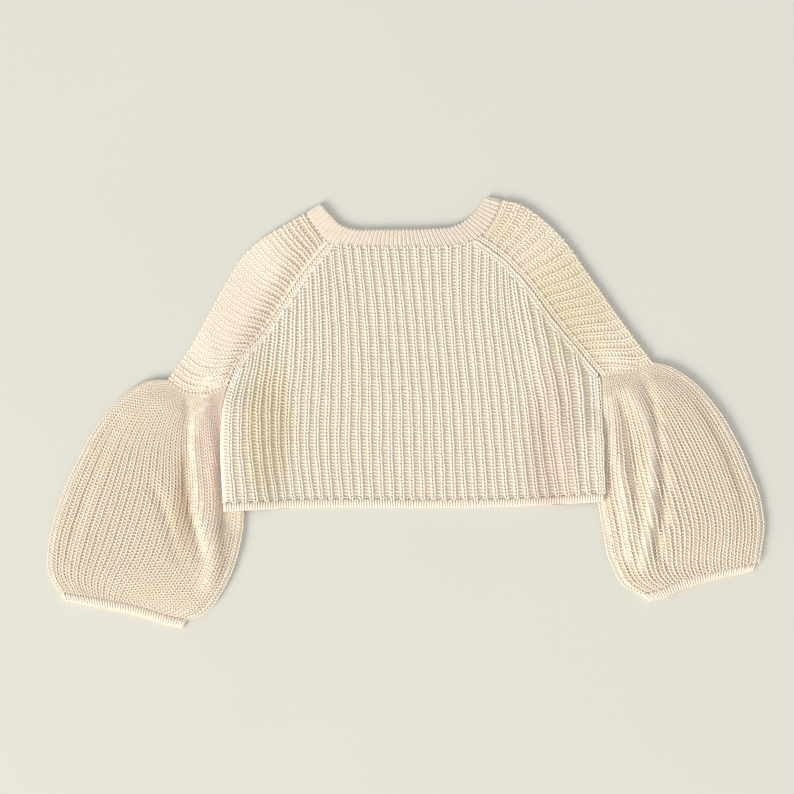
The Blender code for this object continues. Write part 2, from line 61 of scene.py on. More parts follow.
# Layers of the cloth, from the surface up
BACK_WALL = 3.2
LAYER_GAP = 0.4
FRONT_WALL = 2.6
INSIDE_TOP = BACK_WALL + LAYER_GAP
VALLEY_TOP = INSIDE_TOP + FRONT_WALL
MAX_HOLLOW = 3.0
EDGE_LIP = 1.0
NOSE_RADIUS = 3.4
PANEL_EDGE_RADIUS = 2.2
NOSE_STEPS = (0.0, 0.05, 0.14, 0.3, 0.55)
SEAM_GAP = 0.02
RAGLAN_GAP = 1.6 * SEAM_GAP
SEAM_DIP = 0.45
SEAM_REACH = 3  # how far from a seam its dip is felt
RIB_POWER = 0.8  # below 1 the crests are broad and the valleys narrow
UNDER = 0.55  # the cloth under the stitches, as a share of the rib height

# Ribs and bands
BODY_EDGE_RIBS = (-18.5, 19.0)
UPPER_SLEEVE_RIBS = 20
NECKBAND_RIBS = 50
BODY_RIB_PITCH = 13.9
FULL_SPACING = 9  # spacing of the ribs from which they have their full height
HEM_DEPTH = 12.0
BAND_CROWN = 1.2
NECKBAND_RELIEF = 1.2
NECKBAND_DIP = 0.3

# How the layers stack where the body lies over the balloon sleeves
EDGE_LIFT = 7.2
LEFT_STRIP = (-214, -162)
LEFT_RAMP = (46, -4)
RIGHT_RAMP = (12, -38)
RIGHT_DROP = (236, 262)
CREASE_WIDTH = 28
LOW_TAPER = 25  # length over which the crease fades below the top, low down
HIGH_TAPER = 45  # and high up
TAPER_CHANGE = 30
COVER_EDGE = (-10, -2)
COVER_END = (-180, -156)
PUFF = 4.5
SLEEVE_PUFF = 2.0
PUFF_EDGE = (3, 36)

# How those change from a sleeve's upper end, 0, to its lower end, 1
PUFF_START = (0.0, 0.15)
PUFF_END = (0.85, 1.0)
PUFF_LOSS = 0.7
FOLD_END = (0.9, 1.0)
FOLD_LOSS = 0.6
CUFF_DROP = 0.5
SLEEVE_PUFF_START = (0.05, 0.3)
SLEEVE_FOLD_START = (0.5, 0.9)
LEAN_START = (0.1, 0.6)
LEAN_END = (0.75, 1.0)

# Outlines, as (x, y)
HEM = [(-251, -137), (-146, -132), (49, -132), (160, -130), (275, -123)]
SIDES = {
    "left": [(-251, -137), (-255, -94), (-255, -38), (-251, 10), (-243, 41)],
    "right": [(275, -123), (276, -94), (273, -59), (270, -10), (269, 52)],
}
BAND_SEAM = [(-137, 277), (-119, 249), (-105, 235), (-83, 230), (-40, 228), (0, 228),
             (40, 228), (69, 230), (98, 240), (115, 257), (126, 277), (132, 295)]
BAND_EDGE = [(-118, 289), (-104, 273), (-90, 259), (-72, 253), (-36, 252), (0, 252),
             (36, 253), (66, 256), (83, 264), (98, 277), (108, 288), (115, 299)]
RAGLANS = {
    "left": [(-105, 235), (-146, 185), (-173, 145), (-201, 105), (-229, 74), (-243, 41)],
    "right": [(98, 240), (132, 216), (158, 191), (205, 130), (251, 74), (269, 52)],
}

# Ribs of the body that guide the others: rib number, then its X at each of these Y
RIB_LEVELS = (-123, -38, 17, 73, 156, 225)
GUIDE_RIBS = [
    (-18.5, -252, -255, -250, -233, -215, -195),
    (-15, -198, -208, -208, -200, -190, -184),
    (-10, -135, -143, -141, -137, -137, -140),
    (0, 4, 1, 0, -4, -11, -19),
    (10, 148, 140, 135, 128, 119, 119),
    (15, 219, 207, 201, 190, 173, 162),
    (19, 275, 271.5, 269.8, 266, 250, 235),
]

# Crease of the body's right half: Y, its X there and the height of the cloth beyond it
CREASE = [(-125, 209, 7.2), (-94, 205, 7.2), (-24, 194, 7), (59, 166, 4), (128, 145, 1),
          (150, 140, 0)]

# Each sleeve's outlines from its outer end to its inner one or from neck to cuff, the
# ribs on its balloon's front half and how far they lean to the inner fold, how soft its
# upper part's knit looks, how its ribs slant and how much of its elbow end is bare, as
# shares of its length, and its folds as (x, y, height)
SLEEVES = {
    "left": {
        "ribs": 24,
        "lean": 1.0,
        "inner_corner": (-244.2, 41),
        "softness": 0.95,
        "slant": 0.0,
        "bare": 0.04,
        "shoulder": [(-137, 277), (-166, 260), (-201, 239), (-225, 216), (-243, 188),
                     (-269, 141), (-298, 89), (-329, 45)],
        "elbow": [(-329, 45), (-305, 29), (-288, 26), (-270, 28), (-254, 34), (-244.2, 41)],
        "outer": [(-329, 45), (-354, 44), (-372, 36), (-395, 17), (-423, -16), (-451, -67),
                  (-476, -127), (-491, -184), (-491, -222), (-476, -249)],
        "inner": [(-244.2, 41), (-249, 24), (-252.4, 6), (-249, -16), (-240, -52), (-225, -138),
                  (-232, -191), (-254, -246), (-279, -277), (-301, -286)],
        "cuff_top": [(-476, -249), (-423, -256), (-368, -267), (-320, -282), (-301, -286)],
        "cuff_end": [(-470, -261), (-423, -270), (-368, -282), (-323, -296), (-307, -299)],
        "folds": {
            "pleat": (12, [(-268, 101, 1), (-273, 38, 3), (-277, 17, 5), (-291, -24, 6.5),
                           (-288, -80, 7), (-280, -149, 7), (-270, -205, 5), (-277, -246, 3)]),
            "deep": (7, [(-301, 17, -3), (-301, -52, -6), (-304, -94, -6), (-298, -135, -6),
                         (-288, -177, -5), (-284, -205, -2)]),
            "side": (8, [(-273, 10, 1), (-270, -24, 3), (-268, -66, 4.5), (-265, -121, 4.5),
                         (-263, -170, 4), (-260, -212, 2.5), (-266, -246, 1)]),
            "lobe": (8, [(-354, -94, -1), (-340, -121, -3), (-326, -163, -3), (-315, -205, -2)]),
            "rim": (8, [(-395, -10, -1.5), (-430, -80, -2.5), (-458, -163, -2.5),
                        (-465, -205, -1)]),
        },
    },
    "right": {
        "ribs": 17,
        "lean": -1.1,
        "inner_corner": (270.2, 52),
        "softness": 0.35,
        "slant": 0.09,
        "bare": 0.012,
        "shoulder": [(132, 295), (160, 288), (187, 271), (215, 245), (257, 188), (298, 130),
                     (326, 92), (343, 70)],
        "elbow": [(343, 70), (333, 62), (315, 58), (295, 55), (270.2, 52)],
        "outer": [(343, 70), (368, 63), (395, 45), (423, 15), (451, -28), (476, -84),
                  (491, -128), (494, -156), (488, -207)],
        "inner": [(270.2, 52), (271.2, 17), (272.2, -18), (271, -45), (268, -101), (277, -156),
                  (287, -205), (305, -238), (326, -250)],
        "cuff_top": [(488, -207), (437, -217), (388, -230), (347, -245), (326, -250)],
        "cuff_end": [(481, -221), (437, -230), (388, -243), (354, -259), (337, -261)],
        "folds": {
            "pleat": (10, [(306, 30, 1), (321, 7, 3), (332, -16, 4.5), (339, -45, 5.5),
                           (339, -91, 6), (337, -135, 6), (330, -185, 4), (326, -215, 2)]),
            "ridge": (9, [(282, 17, 1), (287, -38, 3), (297, -94, 4), (303, -149, 4),
                          (309, -205, 2)]),
            "deep": (7, [(330, 45, -3), (340, 17, -4), (347, -38, -5), (354, -94, -6),
                         (354, -149, -6), (347, -184, -5), (361, -218, -2)]),
            "side": (6, [(298, 17, -3), (308, -24, -5), (316, -80, -5), (319, -121, -2)]),
            "rim": (8, [(412, 10, -1.5), (446, -60, -2.5), (466, -130, -2.5), (462, -190, -1)]),
        },
    },
}

# Where the knit looks smooth and even
SMOOTH_FOLDS = ("pleat", "ridge")  # folds whose crest is stretched
SMOOTH_SHARE = 0.65  # of their width
FLAT_STITCH = 0.16  # height that a stitch keeps there
SOFT_LOSS = 0.75  # share of its height that a rib loses where an upper sleeve is soft
SOFT_START = (0.05, 0.3)  # where that sets in along the sleeve
SOFT_REACH = (12, 45)  # and across it, by the distance from the raglan
SOFT_WIDER = 20  # how much less of that is needed near the elbow
SOFT_WIDER_ROWS = (0.6, 0.9)
CRISP_ROWS = (0.8, 0.95)  # the outer part of the elbow, which stays crisper
CRISP_ACROSS = (0.4, 0.6)
CRISP_SHARE = 0.6
ELBOW_SHOWN = (0.42, 0.6)  # where the elbow's seam starts to show, as shares of the way out
ELBOW_CLEAR = 0.012  # share of the sleeve without stitches along the elbow's seam there
NECK_CLEAR = 0.004  # and along the neckband's seam
RAGLAN_RELIEF = 0.75  # an upper sleeve's rib height at its raglan, as a share of the body's
FOLD_RELIEF = 0.25  # and at its fold
RELIEF_FADE = (25, 85)
SLANT_START = (0, 0.5)

# How finely the shells are cut
RIB_SAMPLES = 8
BODY_ROWS = 96
PLAIN_ROWS = 24
INSIDE_RIB_STEP = 0.75
BALLOON_ROWS = 96
BALLOON_PLAIN_SPANS = 36
SLEEVE_SPANS = 44
SLEEVE_PLAIN_SPANS = 12
BORDER_STEPS = (0, 0.9, 1.7, 2.4, 3.5, 5, 7, 9, 11, 13, 15, 18, 21, 24)
NECKBAND_PLAIN_SPANS = 50
BAND_PLAIN_SPANS = 40
LOW_REACH = 0.05
CURVE_POINTS = 240
WIDTH_SAMPLES = 200
BAND_ROWS = (0.002, 0.06, 0.15, 0.3, 0.5, 0.7, 0.88, 1.0)
HEM_SPANS = 120
CUFF_SPANS = 48
NECKBAND_ROWS = (0.001, 0.06, 0.14, 0.3, 0.45, 0.6, 0.75, 0.88, 0.95, 1.0)
NECKBAND_RIB_SAMPLES = 6
END_STEPS = (0.0, 0.8, 1.8, 3.2, 5.2)  # rows near a seam, by their distance from it
EDGE_STEPS = (0, 0.03, 0.08, 0.15)  # ribs near the body's sides, by their distance from them
EDGE_CLEAR = 0.2  # where the even ribs begin
BODY_REACH = (-143, 250)  # Y of the lines that the body's ribs are cut from
BODY_SAMPLES = 600
FOLD_STEP = 6  # every so many points of a curve stand for a fold
SEAM_STEP_POINTS = 4  # and for a seam or the body's border
GUIDE_ROWS = 44
WANDER = 0.02  # how far a wale strays from its line, in ribs
WIDTH_LIMITS = (0.12, 1.25)  # of a stitch, as shares of its size on the body
HEIGHT_LIMITS = (0.55, 1.0)

# Where the stitches are, their heights as shares of the rib height
CREST_SEAT = 0.8  # height of the wales on the crests
BAR_SEAT = 0.12  # height of the purl bars in the valleys, as a share of the wales'
STITCH_CLEAR = (1.5, 0.5)  # distance of the body's stitches from its hem and its top
WALE_CLEAR = 1.2  # and beyond the reach of the border
EDGE_WALE = 0.03  # distance of the front's last wale from its right edge, in ribs
EDGE_WALE_SIZE = 0.7
EDGE_NEIGHBOUR = 0.1  # distance of the line that gives the last wale its direction across
BALLOON_KNIT = (0.75, 1.16)  # (height, size) of a balloon's wales
BALLOON_PURL = (0.3, 0.8)  # and of its bars
OUTER_WALE = 0.22  # how far its outermost wales are past its ribs
FOLD_CLEAR = 2.2  # distance of an upper sleeve's stitches from its fold
BAR_RADIUS = 0.75  # of the bar in a loose stitch, as a share of its legs'
LINK_ROW = 0.46  # place of the links across a band
LINK_MARGIN = 3.0
LINK_SAMPLES = 160
LINK_LENGTH = 1.02  # as a share of the hem's depth
NECKBAND_PITCH = 3.6
NECKBAND_SIZE = 1.15
NECKBAND_GUIDE = (0.97, 0.0, 9)  # from, to and the count of rows

# Raglan borders, where one wale runs along the seam
BORDER_MIDDLE = 4.8  # distance of the wale's middle from the seam, and its half width
BORDER_SPAN = slice(2, -3)  # the raglan's points that the body's wale has
BORDER_ROWS = (0.01, 0.98)  # the part of an upper sleeve's raglan that its wale has
BORDER_ASIDE = 0.02  # step across it that gives the stitches their direction
BORDER_STITCH = 12.5  # width of the rib that a border's stitches would fill
BORDER_END = {"body": (6.5, 11.0), "sleeve": (8.0, 12.0)}
WALE_SEAT = {"body": 0.7, "sleeve": 0.6}  # height of the wale's stitches
WALE_RELIEF = 0.8  # height of the cloth under an upper sleeve's wale
HOOK = 6.0  # how far an upper sleeve's ribs bend down at the border
HOOK_REACH = 12.0
SEAM_STEP = 4.8  # spacing of the yarn bars over a seam
RAGLAN_BARS = slice(4, -4)  # the raglan's and the elbow's points that have bars
ELBOW_BARS = slice(6, -6)
HOLE_DEPTH = 1.6
HOLE_REACH = 1.9
HOLE_START = 0.6
HOLE_CLEAR = 8  # distance of the top's holes from the raglans

# How much shade is painted on the cloth, from 0 to 1 in a valley
CREST_LIGHT = 0.3  # share that it loses on a crest
WALE_LIGHT = 0.8  # and under a border's wale
WALE_LIT = (0.1, 0.6)
SOFT_LIGHT = 0.7  # and where an upper sleeve is soft
EDGE_LIGHT = 0.9  # and on a tube's rounded edge
EDGE_LIT = (0, 2.5)
SIDE_SHADE = 0.25  # share that is left at the body's sides
SIDE_FADE = (4, 7)
FOLD_SHADE = 0.4  # and at an upper sleeve's fold
FOLD_FADE = (1, 4)
SEAM_DARK = 2.4  # half width of the shaded strip along a seam
SEAM_SHADE = 1.2
HOLE_SHADE = 0.8
BAND_DARK = (0.7, 1.0)  # shade of a tube's crests and valleys
NECKBAND_DARK = (0.2, 0.6)
# painted shade over the whole of a balloon's cloth, which shows only in the holes between its
# stitches
BALLOON_DARK = (1.0, 1.0)


def ease(value, low, high):
    """0 at low, 1 at high and smooth between them; low may be the larger one."""
    t = np.clip((value - low) / (high - low), 0, 1)
    return t * t * (3 - 2 * t)


def blend(knots, values, at):
    """A smooth curve through the values at the knots, read at other places."""
    knots = np.asarray(knots, float)
    values = np.asarray(values, float)
    slopes = np.gradient(values, knots, axis=0)
    i = np.clip(np.searchsorted(knots, at) - 1, 0, len(knots) - 2)
    span = knots[i + 1] - knots[i]
    t = (at - knots[i]) / span
    if values.ndim > 1:
        span, t = span[:, None], t[:, None]
    start = (2 * t**3 - 3 * t**2 + 1) * values[i] + (t**3 - 2 * t**2 + t) * span * slopes[i]
    end = (3 * t**2 - 2 * t**3) * values[i + 1] + (t**3 - t**2) * span * slopes[i + 1]
    return start + end


def smooth_curve(points):
    """Points at even steps along the smooth curve through a table's rows."""
    points = np.array(points, float)
    steps = np.linalg.norm(np.diff(points[:, :2], axis=0), axis=1)
    length = np.concatenate([[0], np.cumsum(steps)])
    return blend(length, points, np.linspace(0, length[-1], CURVE_POINTS))


def along(curve, fraction):
    """The curve's points at fractions of its length."""
    at = np.asarray(fraction, float) * (len(curve) - 1)
    whole = np.arange(len(curve))
    return np.stack([np.interp(at, whole, curve[:, i]) for i in range(curve.shape[1])], -1)


def section(curve, start, end):
    """The stretch of a curve between the places nearest to two points."""
    first, last = (np.argmin(np.linalg.norm(curve - point, axis=1)) for point in (start, end))
    return along(curve, np.linspace(first, last, CURVE_POINTS) / (len(curve) - 1))


def coons(west, east, north, south):
    """Plan of a patch between four curves: u from west to east, v from north to south."""

    def plan(u, v):
        u, v = np.broadcast_arrays(np.asarray(u, float), np.asarray(v, float))
        a, b = u[..., None], v[..., None]
        sides = (1 - a) * along(west, v) + a * along(east, v)
        ends = (1 - b) * along(north, u) + b * along(south, u)
        upper, lower = ((1 - a) * end[0] + a * end[-1] for end in (north, south))
        return sides + ends - ((1 - b) * upper + b * lower)

    return plan


def ruled(north, south):
    """Plan of a band between two curves: u along them, v across."""

    def plan(u, v):
        u, v = np.broadcast_arrays(np.asarray(u, float), np.asarray(v, float))
        b = v[..., None]
        return (1 - b) * along(north, u) + b * along(south, u)

    return plan


def distance_to(curve, points):
    """Distance in plan from points to a curve."""
    flat = points[..., :2].reshape(-1, 2)
    knots = curve[::SEAM_STEP_POINTS, :2]
    nearest = np.full(len(flat), np.inf)
    for start, step in zip(knots[:-1], np.diff(knots, axis=0)):
        t = np.clip((flat - start) @ step / max(step @ step, 1e-9), 0, 1)
        nearest = np.minimum(nearest, np.linalg.norm(flat - start - t[:, None] * step, axis=1))
    return nearest.reshape(points.shape[:-1])


def raglan_distance(points):
    """Distance in plan from the nearer raglan."""
    return np.minimum(*(distance_to(smooth_curve(table), points) for table in RAGLANS.values()))


def near_fold(rows, points):
    """(distance in plan, height) of a fold's crest where it is nearest to each point."""
    route = smooth_curve(rows)[::FOLD_STEP]
    far = np.linalg.norm(points[..., None, :2] - route[:, :2], axis=-1)
    return far.min(-1), route[far.argmin(-1), 2]


def fold_height(side, points):
    """Sum of a sleeve's ridges and troughs over plan points."""
    total = np.zeros(points.shape[:-1])
    for width, rows in SLEEVES[side]["folds"].values():
        far, height = near_fold(rows, points)
        total += height * np.exp(-((far / width) ** 2))
    return total


def smooth_zone(side, points):
    """1 on the crests of a sleeve's stretched pleats, whose knit is too tight to show."""
    zone = np.zeros(points.shape[:-1])
    for name, (width, rows) in SLEEVES[side]["folds"].items():
        if name in SMOOTH_FOLDS:
            far = near_fold(rows, points)[0]
            zone = np.maximum(zone, np.exp(-((far / (SMOOTH_SHARE * width)) ** 4)))
    return zone


def inside_edge(side, points):
    """How far points are inside the body's side edge."""
    rows = np.array(sorted(SIDES[side], key=lambda row: row[1]))
    past = points[..., 0] - np.interp(points[..., 1], rows[:, 1], rows[:, 0])
    return past if side == "left" else -past


def cover(side, points):
    """1 where the body lies over a sleeve, 0 clear of it."""
    return ease(inside_edge(side, points), *COVER_EDGE) * ease(points[..., 1], *COVER_END)


def hidden(side, points):
    """True where the body lies over a sleeve's points."""
    above_hem = points[..., 1] > np.interp(points[..., 0], *np.array(HEM, float).T)
    return (inside_edge(side, points) > 0) & above_hem


def body_outline():
    """The body's upper outline, left to right: both raglans and the neckline."""
    left, right = (smooth_curve(table) for table in RAGLANS.values())
    neck = section(smooth_curve(BAND_SEAM), RAGLANS["left"][0], RAGLANS["right"][0])
    return np.vstack([left[:0:-1], neck, right[1:]])


UPPER_OUTLINE = body_outline()
HEM_LINE = smooth_curve(HEM)


def body_top(x):
    """Y of the body's upper outline, less the seam gap."""
    slope = np.gradient(UPPER_OUTLINE[:, 1], UPPER_OUTLINE[:, 0])
    lowered = UPPER_OUTLINE[:, 1] - SEAM_GAP * np.hypot(1, slope)
    return np.interp(x, UPPER_OUTLINE[:, 0], lowered)


def hem_seam(x):
    """Y of the seam between the body and its hem band."""
    return np.interp(x, HEM_LINE[:, 0], HEM_LINE[:, 1]) + HEM_DEPTH


def body_rise(points):
    """How far the body's two layers are lifted off the surface."""
    x, y = points[..., 0], points[..., 1]
    left = EDGE_LIFT * ease(y, *LEFT_RAMP) * ease(x, LEFT_STRIP[1], LEFT_STRIP[0])
    level, crease_x, height = np.array(CREASE, float).T
    valley = np.interp(y, level, crease_x)
    right = np.interp(y, level, height) * ease(x, valley, valley + CREASE_WIDTH)
    right *= 1 - ease(y, RIGHT_RAMP[1], RIGHT_RAMP[0]) * ease(x, *RIGHT_DROP)
    below_top = body_top(x) - y
    high = ease(y, 0, TAPER_CHANGE)
    right *= (1 - high) * ease(below_top, 0, LOW_TAPER) + high * ease(below_top, 0, HIGH_TAPER)
    return left + right


def nose(distance, radius=NOSE_RADIUS):
    """Height factor of a rounded edge at a distance from it."""
    q = np.clip(distance / radius, 0, 1)
    return np.sqrt(1 - (1 - q) ** 2)


def rib_profile(number):
    """Height across the ribs: 0 in the valleys at whole numbers, 1 on the crests."""
    return (0.5 - 0.5 * np.cos(2 * np.pi * number)) ** RIB_POWER


def border(distance, where):
    """(height of the border's wale, how much of the ribs is left) at a distance from a raglan."""
    wale = 1 - ((distance - BORDER_MIDDLE) / BORDER_MIDDLE) ** 2
    return np.maximum(wale, 0), ease(distance, *BORDER_END[where])


def seam_dip(distance, depth=SEAM_DIP):
    """How far the cloth sinks at a distance from a seam."""
    return depth * (1 - ease(distance, 0, SEAM_REACH))


def valley_shade(profile, wale):
    """Painted shade on the cloth under its ribs and a border's wale."""
    return (1 - CREST_LIGHT * profile) * (1 - WALE_LIGHT * ease(wale, *WALE_LIT))


def seam_shade(distance):
    """The strip of painted shade along a seam."""
    return SEAM_SHADE * (1 - ease(distance, SEAM_DARK - 1, SEAM_DARK))


def end_rows(length, count):
    """Distances along a rib, close together near both its ends."""
    near = np.array(END_STEPS)
    even = np.linspace(near[-1], length - near[-1], count)[1:-1]
    return np.concatenate([near, even, length - near[::-1]])


def with_height(points, height):
    """Plan points with their Z."""
    return np.concatenate([points, np.broadcast_to(height, points.shape[:-1])[..., None]], -1)


def rounded(place, z, under, distance):
    """Plan points with their Z, which meets the middle of the layers at a rounded edge."""
    middle = under + BACK_WALL + LAYER_GAP / 2
    return with_height(place, middle + (z - middle) * nose(distance))


# Shells


class Skin:
    """A grid of points with its knit coordinates (rib, row), its painted shade and how plain it
    is.
    """

    def __init__(self, points, rib, row, shade=0.0, plain=0.0, at=None):
        shape = points.shape[:2]
        self.points = points
        self.knit = np.stack([np.broadcast_to(rib, shape), np.broadcast_to(row, shape)], -1)
        self.shade = np.broadcast_to(shade, shape)
        self.plain = np.broadcast_to(plain, shape)
        self.at = np.arange(shape[1]) if at is None else at


def zipped(near, near_at, far, far_at):
    """Triangles between two lines of vertices, walked by their fractions."""
    faces = []
    i = j = 0
    while i < len(near) - 1 or j < len(far) - 1:
        step_near = near_at[i + 1] if i < len(near) - 1 else np.inf
        step_far = far_at[j + 1] if j < len(far) - 1 else np.inf
        if step_near <= step_far:
            faces.append((near[i], near[i + 1], far[j]))
            i += 1
        else:
            faces.append((near[i], far[j + 1], far[j]))
            j += 1
    return faces


def grid_faces(index, points, ring):
    """Two triangles for each cell of a grid of vertex numbers, cut along its shorter diagonal."""
    following = np.roll(index, -1, axis=1) if ring else index[:, 1:]
    current = index if ring else index[:, :-1]
    a, b = current[:-1].ravel(), following[:-1].ravel()
    d, e = current[1:].ravel(), following[1:].ravel()
    across = np.linalg.norm(points[a] - points[e], axis=1).round(3)
    other = np.linalg.norm(points[b] - points[d], axis=1).round(3)
    cut = across <= other
    first = np.where(cut, (a, b, e), (a, b, d))
    second = np.where(cut, (a, e, d), (b, e, d))
    return [*first.T.tolist(), *second.T.tolist()]


def add_object(name, data):
    """A new object in the scene."""
    made = bpy.data.objects.new(name, data)
    bpy.context.collection.objects.link(made)
    return made


def face_outwards(mesh):
    """Turns a closed mesh's faces outwards and smooths their shading."""
    bm = bmesh.new()
    bm.from_mesh(mesh)
    bmesh.ops.recalc_face_normals(bm, faces=bm.faces)
    bm.to_mesh(mesh)
    bm.free()
    mesh.shade_smooth()


def set_attribute(mesh, label, kind, values):
    """Gives a mesh's vertices a named attribute."""
    layer = mesh.attributes.new(label, kind, "POINT")
    field = "vector" if kind == "FLOAT_VECTOR" else "value"
    layer.data.foreach_set(field, np.array(values, np.float32).ravel())


def shell(name, outer, inner, material, ring=False):
    """One closed wall between an outer and an inner skin, joined round their edges."""
    skins = (outer, inner)
    points = np.vstack([skin.points.reshape(-1, 3) for skin in skins]) - (*CENTRE, 0)
    near_index, far_index = (
        np.arange(skin.shade.size).reshape(skin.shade.shape) + first
        for skin, first in zip(skins, (0, outer.shade.size))
    )
    faces = grid_faces(near_index, points, ring) + grid_faces(far_index, points, ring)
    for row in (0, -1):
        near, far = list(near_index[row]), list(far_index[row])
        near_at, far_at = list(outer.at), list(inner.at)
        if ring:
            near, far = near + near[:1], far + far[:1]
            near_at, far_at = near_at + [2.0], far_at + [2.0]
        faces += zipped(near, near_at, far, far_at)
    if not ring:
        near_at, far_at = (np.linspace(0, 1, len(index)) for index in (near_index, far_index))
        for column in (0, -1):
            near, far = list(near_index[:, column]), list(far_index[:, column])
            faces += zipped(near, near_at, far, far_at)
    mesh = bpy.data.meshes.new(name)
    mesh.from_pydata((points * MM).tolist(), [], [tuple(map(int, face)) for face in faces])
    face_outwards(mesh)
    mesh.materials.append(material)
    # The shade attribute carries the painted shade that the yarn material mixes in
    for label in ("shade", "plain"):
        values = np.concatenate([getattr(skin, label).ravel() for skin in skins])
        set_attribute(mesh, label, "FLOAT", values)
    knit = np.vstack([skin.knit.reshape(-1, 2) for skin in skins])
    corners = np.empty(len(mesh.loops), np.int32)
    mesh.loops.foreach_get("vertex_index", corners)
    layer = mesh.uv_layers.new(name="knit")
    layer.data.foreach_set("uv", knit[corners].astype(np.float32).ravel())
    return add_object(name, mesh)


# Stitches


def spindle(points, radius, sides):
    """Vertices and faces of a short yarn leg through the points, pointed at both ends."""
    points = np.array(points, float)
    turn = np.arange(sides) * 2 * np.pi / sides
    vertices = [points[0]]
    for i in range(1, len(points) - 1):
        forward = points[i + 1] - points[i - 1]
        forward /= np.linalg.norm(forward)
        across = np.cross(forward, (0, 0, 1.0))
        across /= np.linalg.norm(across)
        up = np.cross(across, forward)
        ring = np.cos(turn)[:, None] * across + np.sin(turn)[:, None] * up
        vertices += list(points[i] + radius * ring)
    vertices.append(points[-1])
    faces = []
    rings = len(points) - 2
    for side in range(sides):
        following = (side + 1) % sides
        faces.append((0, 1 + side, 1 + following))
        for start in range(1, 1 + (rings - 1) * sides, sides):
            end = start + sides
            faces.append((start + side, end + side, end + following, start + following))
        last = 1 + (rings - 1) * sides
        faces.append((last + side, len(vertices) - 1, last + following))
    return vertices, faces


def yarn_loop(name, legs):
    """A stitch made of yarn legs, each (points, radius, sides), for the tree to repeat."""
    vertices, faces = [], []
    for points, radius, sides in legs:
        leg_vertices, leg_faces = spindle(points, radius, sides)
        faces += [tuple(i + len(vertices) for i in face) for face in leg_faces]
        vertices += leg_vertices
    mesh = bpy.data.meshes.new(name)
    mesh.from_pydata([tuple(np.array(v) * MM) for v in vertices], [], faces)
    face_outwards(mesh)
    add_object(name, mesh).hide_render = True


def knit_stitch(radius):
    """A plain stitch: two legs that meet towards the hem."""
    leg = [(1.0, -3.1, 0.0), (1.3, -1.6, 0.45), (2.55, 1.6, 0.4), (2.95, 3.3, -0.3)]
    mirrored = [(-x, y, z) for x, y, z in leg]
    yarn_loop("knit_stitch", [(leg, radius, 6), (mirrored, radius, 6)])


def balloon_stitch(radius):
    """A looser stitch: two nearly straight legs and the bar between them."""
    leg = [(2.5, -2.9, 0.0), (2.75, -1.4, 0.4), (3.35, 1.5, 0.4), (3.55, 3.2, -0.2)]
    mirrored = [(-x, y, z) for x, y, z in leg]
    bar = [(-2.9, -1.6, 0.0), (-1.2, -2.4, 0.2), (1.2, -2.4, 0.2), (2.9, -1.6, 0.0)]
    legs = [(leg, radius, 6), (mirrored, radius, 6), (bar, radius * BAR_RADIUS, 4)]
    yarn_loop("balloon_stitch", legs)


def purl_bar(radius):
    """A purl stitch: a low arch of yarn across the valley."""
    bar = [(-3.6, -1.1, 0.2), (-1.7, 0.0, 0.5), (1.7, 0.4, 0.5), (3.6, -0.7, 0.2)]
    yarn_loop("purl_bar", [(bar, radius, 5)])


def link_strand(radius, length):
    """A linking stitch: one long leg across a band."""
    half = length / 2
    profile = ((-1, -0.6), (-0.8, 0.1), (0, 0.35), (0.8, 0.1), (1, -0.6))
    yarn_loop("link_strand", [([(0, half * y, z) for y, z in profile], radius, 6)])


class Guides:
    """Lines that stitches follow: the cloth's normal, a stitch's direction, width and height."""

    def __init__(self):
        self.points, self.up, self.along, self.edges = [], [], [], []
        self.width, self.height = [], []

    def add(self, points, up, direction, width, height):
        start = len(self.points)
        self.points += list(points)
        self.up += list(up)
        self.along += list(direction)
        self.width += list(np.broadcast_to(width, len(points)))
        self.height += list(np.broadcast_to(height, len(points)))
        self.edges += [(start + i, start + i + 1) for i in range(len(points) - 1)]

    def mesh(self, name):
        mesh = bpy.data.meshes.new(name)
        mesh.from_pydata(((np.array(self.points) - (*CENTRE, 0)) * MM).tolist(), self.edges, [])
        for label in ("up", "along"):
            set_attribute(mesh, label, "FLOAT_VECTOR", getattr(self, label))
        for label in ("width", "height"):
            set_attribute(mesh, label, "FLOAT", getattr(self, label))
        return mesh


def wales(lines, across, shown=None, scale=1.0, guides=None, flat=0.0):
    """Guides along grid lines (line, row, xyz): across is the vector over one rib there.

    Lines wander a little, and stitches keep only FLAT_STITCH of their height where flat is 1.
    """
    guides = guides or Guides()
    row, line = np.arange(lines.shape[1]), np.arange(len(lines))[:, None]
    wander = WANDER * (np.sin(0.9 * row + 2.1 * line) + np.sin(0.37 * row + 4.7 * line))
    lines = lines + across * (wander * (row > 1) * (row < row[-1] - 1))[..., None]
    direction = np.gradient(lines, axis=1)
    direction /= np.linalg.norm(direction, axis=-1, keepdims=True)
    up = np.cross(across, direction)
    up /= np.linalg.norm(up, axis=-1, keepdims=True)
    up *= np.sign(up[..., 2:])
    width = np.clip(np.linalg.norm(across, axis=-1) / BODY_RIB_PITCH, *WIDTH_LIMITS) * scale
    height = np.clip(width, *HEIGHT_LIMITS) * (1 - (1 - FLAT_STITCH) * np.asarray(flat))
    shown = np.ones(width.shape, bool) if shown is None else shown
    for i, keep in enumerate(shown):
        ends = np.flatnonzero(np.diff(np.concatenate([[False], keep, [False]]).astype(int)))
        for start, stop in zip(ends[::2], ends[1::2]):
            if stop - start > 2:
                part = (i, slice(start, stop))
                guides.add(*(values[part] for values in (lines, up, direction, width, height)))
    return guides


# Node trees


def feed(tree, node, inputs):
    """Sets a node's inputs, each to a value or to another node's output."""
    for key, value in inputs.items():
        if isinstance(value, bpy.types.NodeSocket):
            tree.links.new(value, node.inputs[key])
        else:
            node.inputs[key].default_value = value


def node_maker(tree):
    """A function that adds a node to a tree, with its inputs and settings."""

    def add(kind, inputs=None, **settings):
        made = tree.nodes.new(kind)
        for key, value in settings.items():
            setattr(made, key, value)
        feed(tree, made, inputs or {})
        return made

    return add


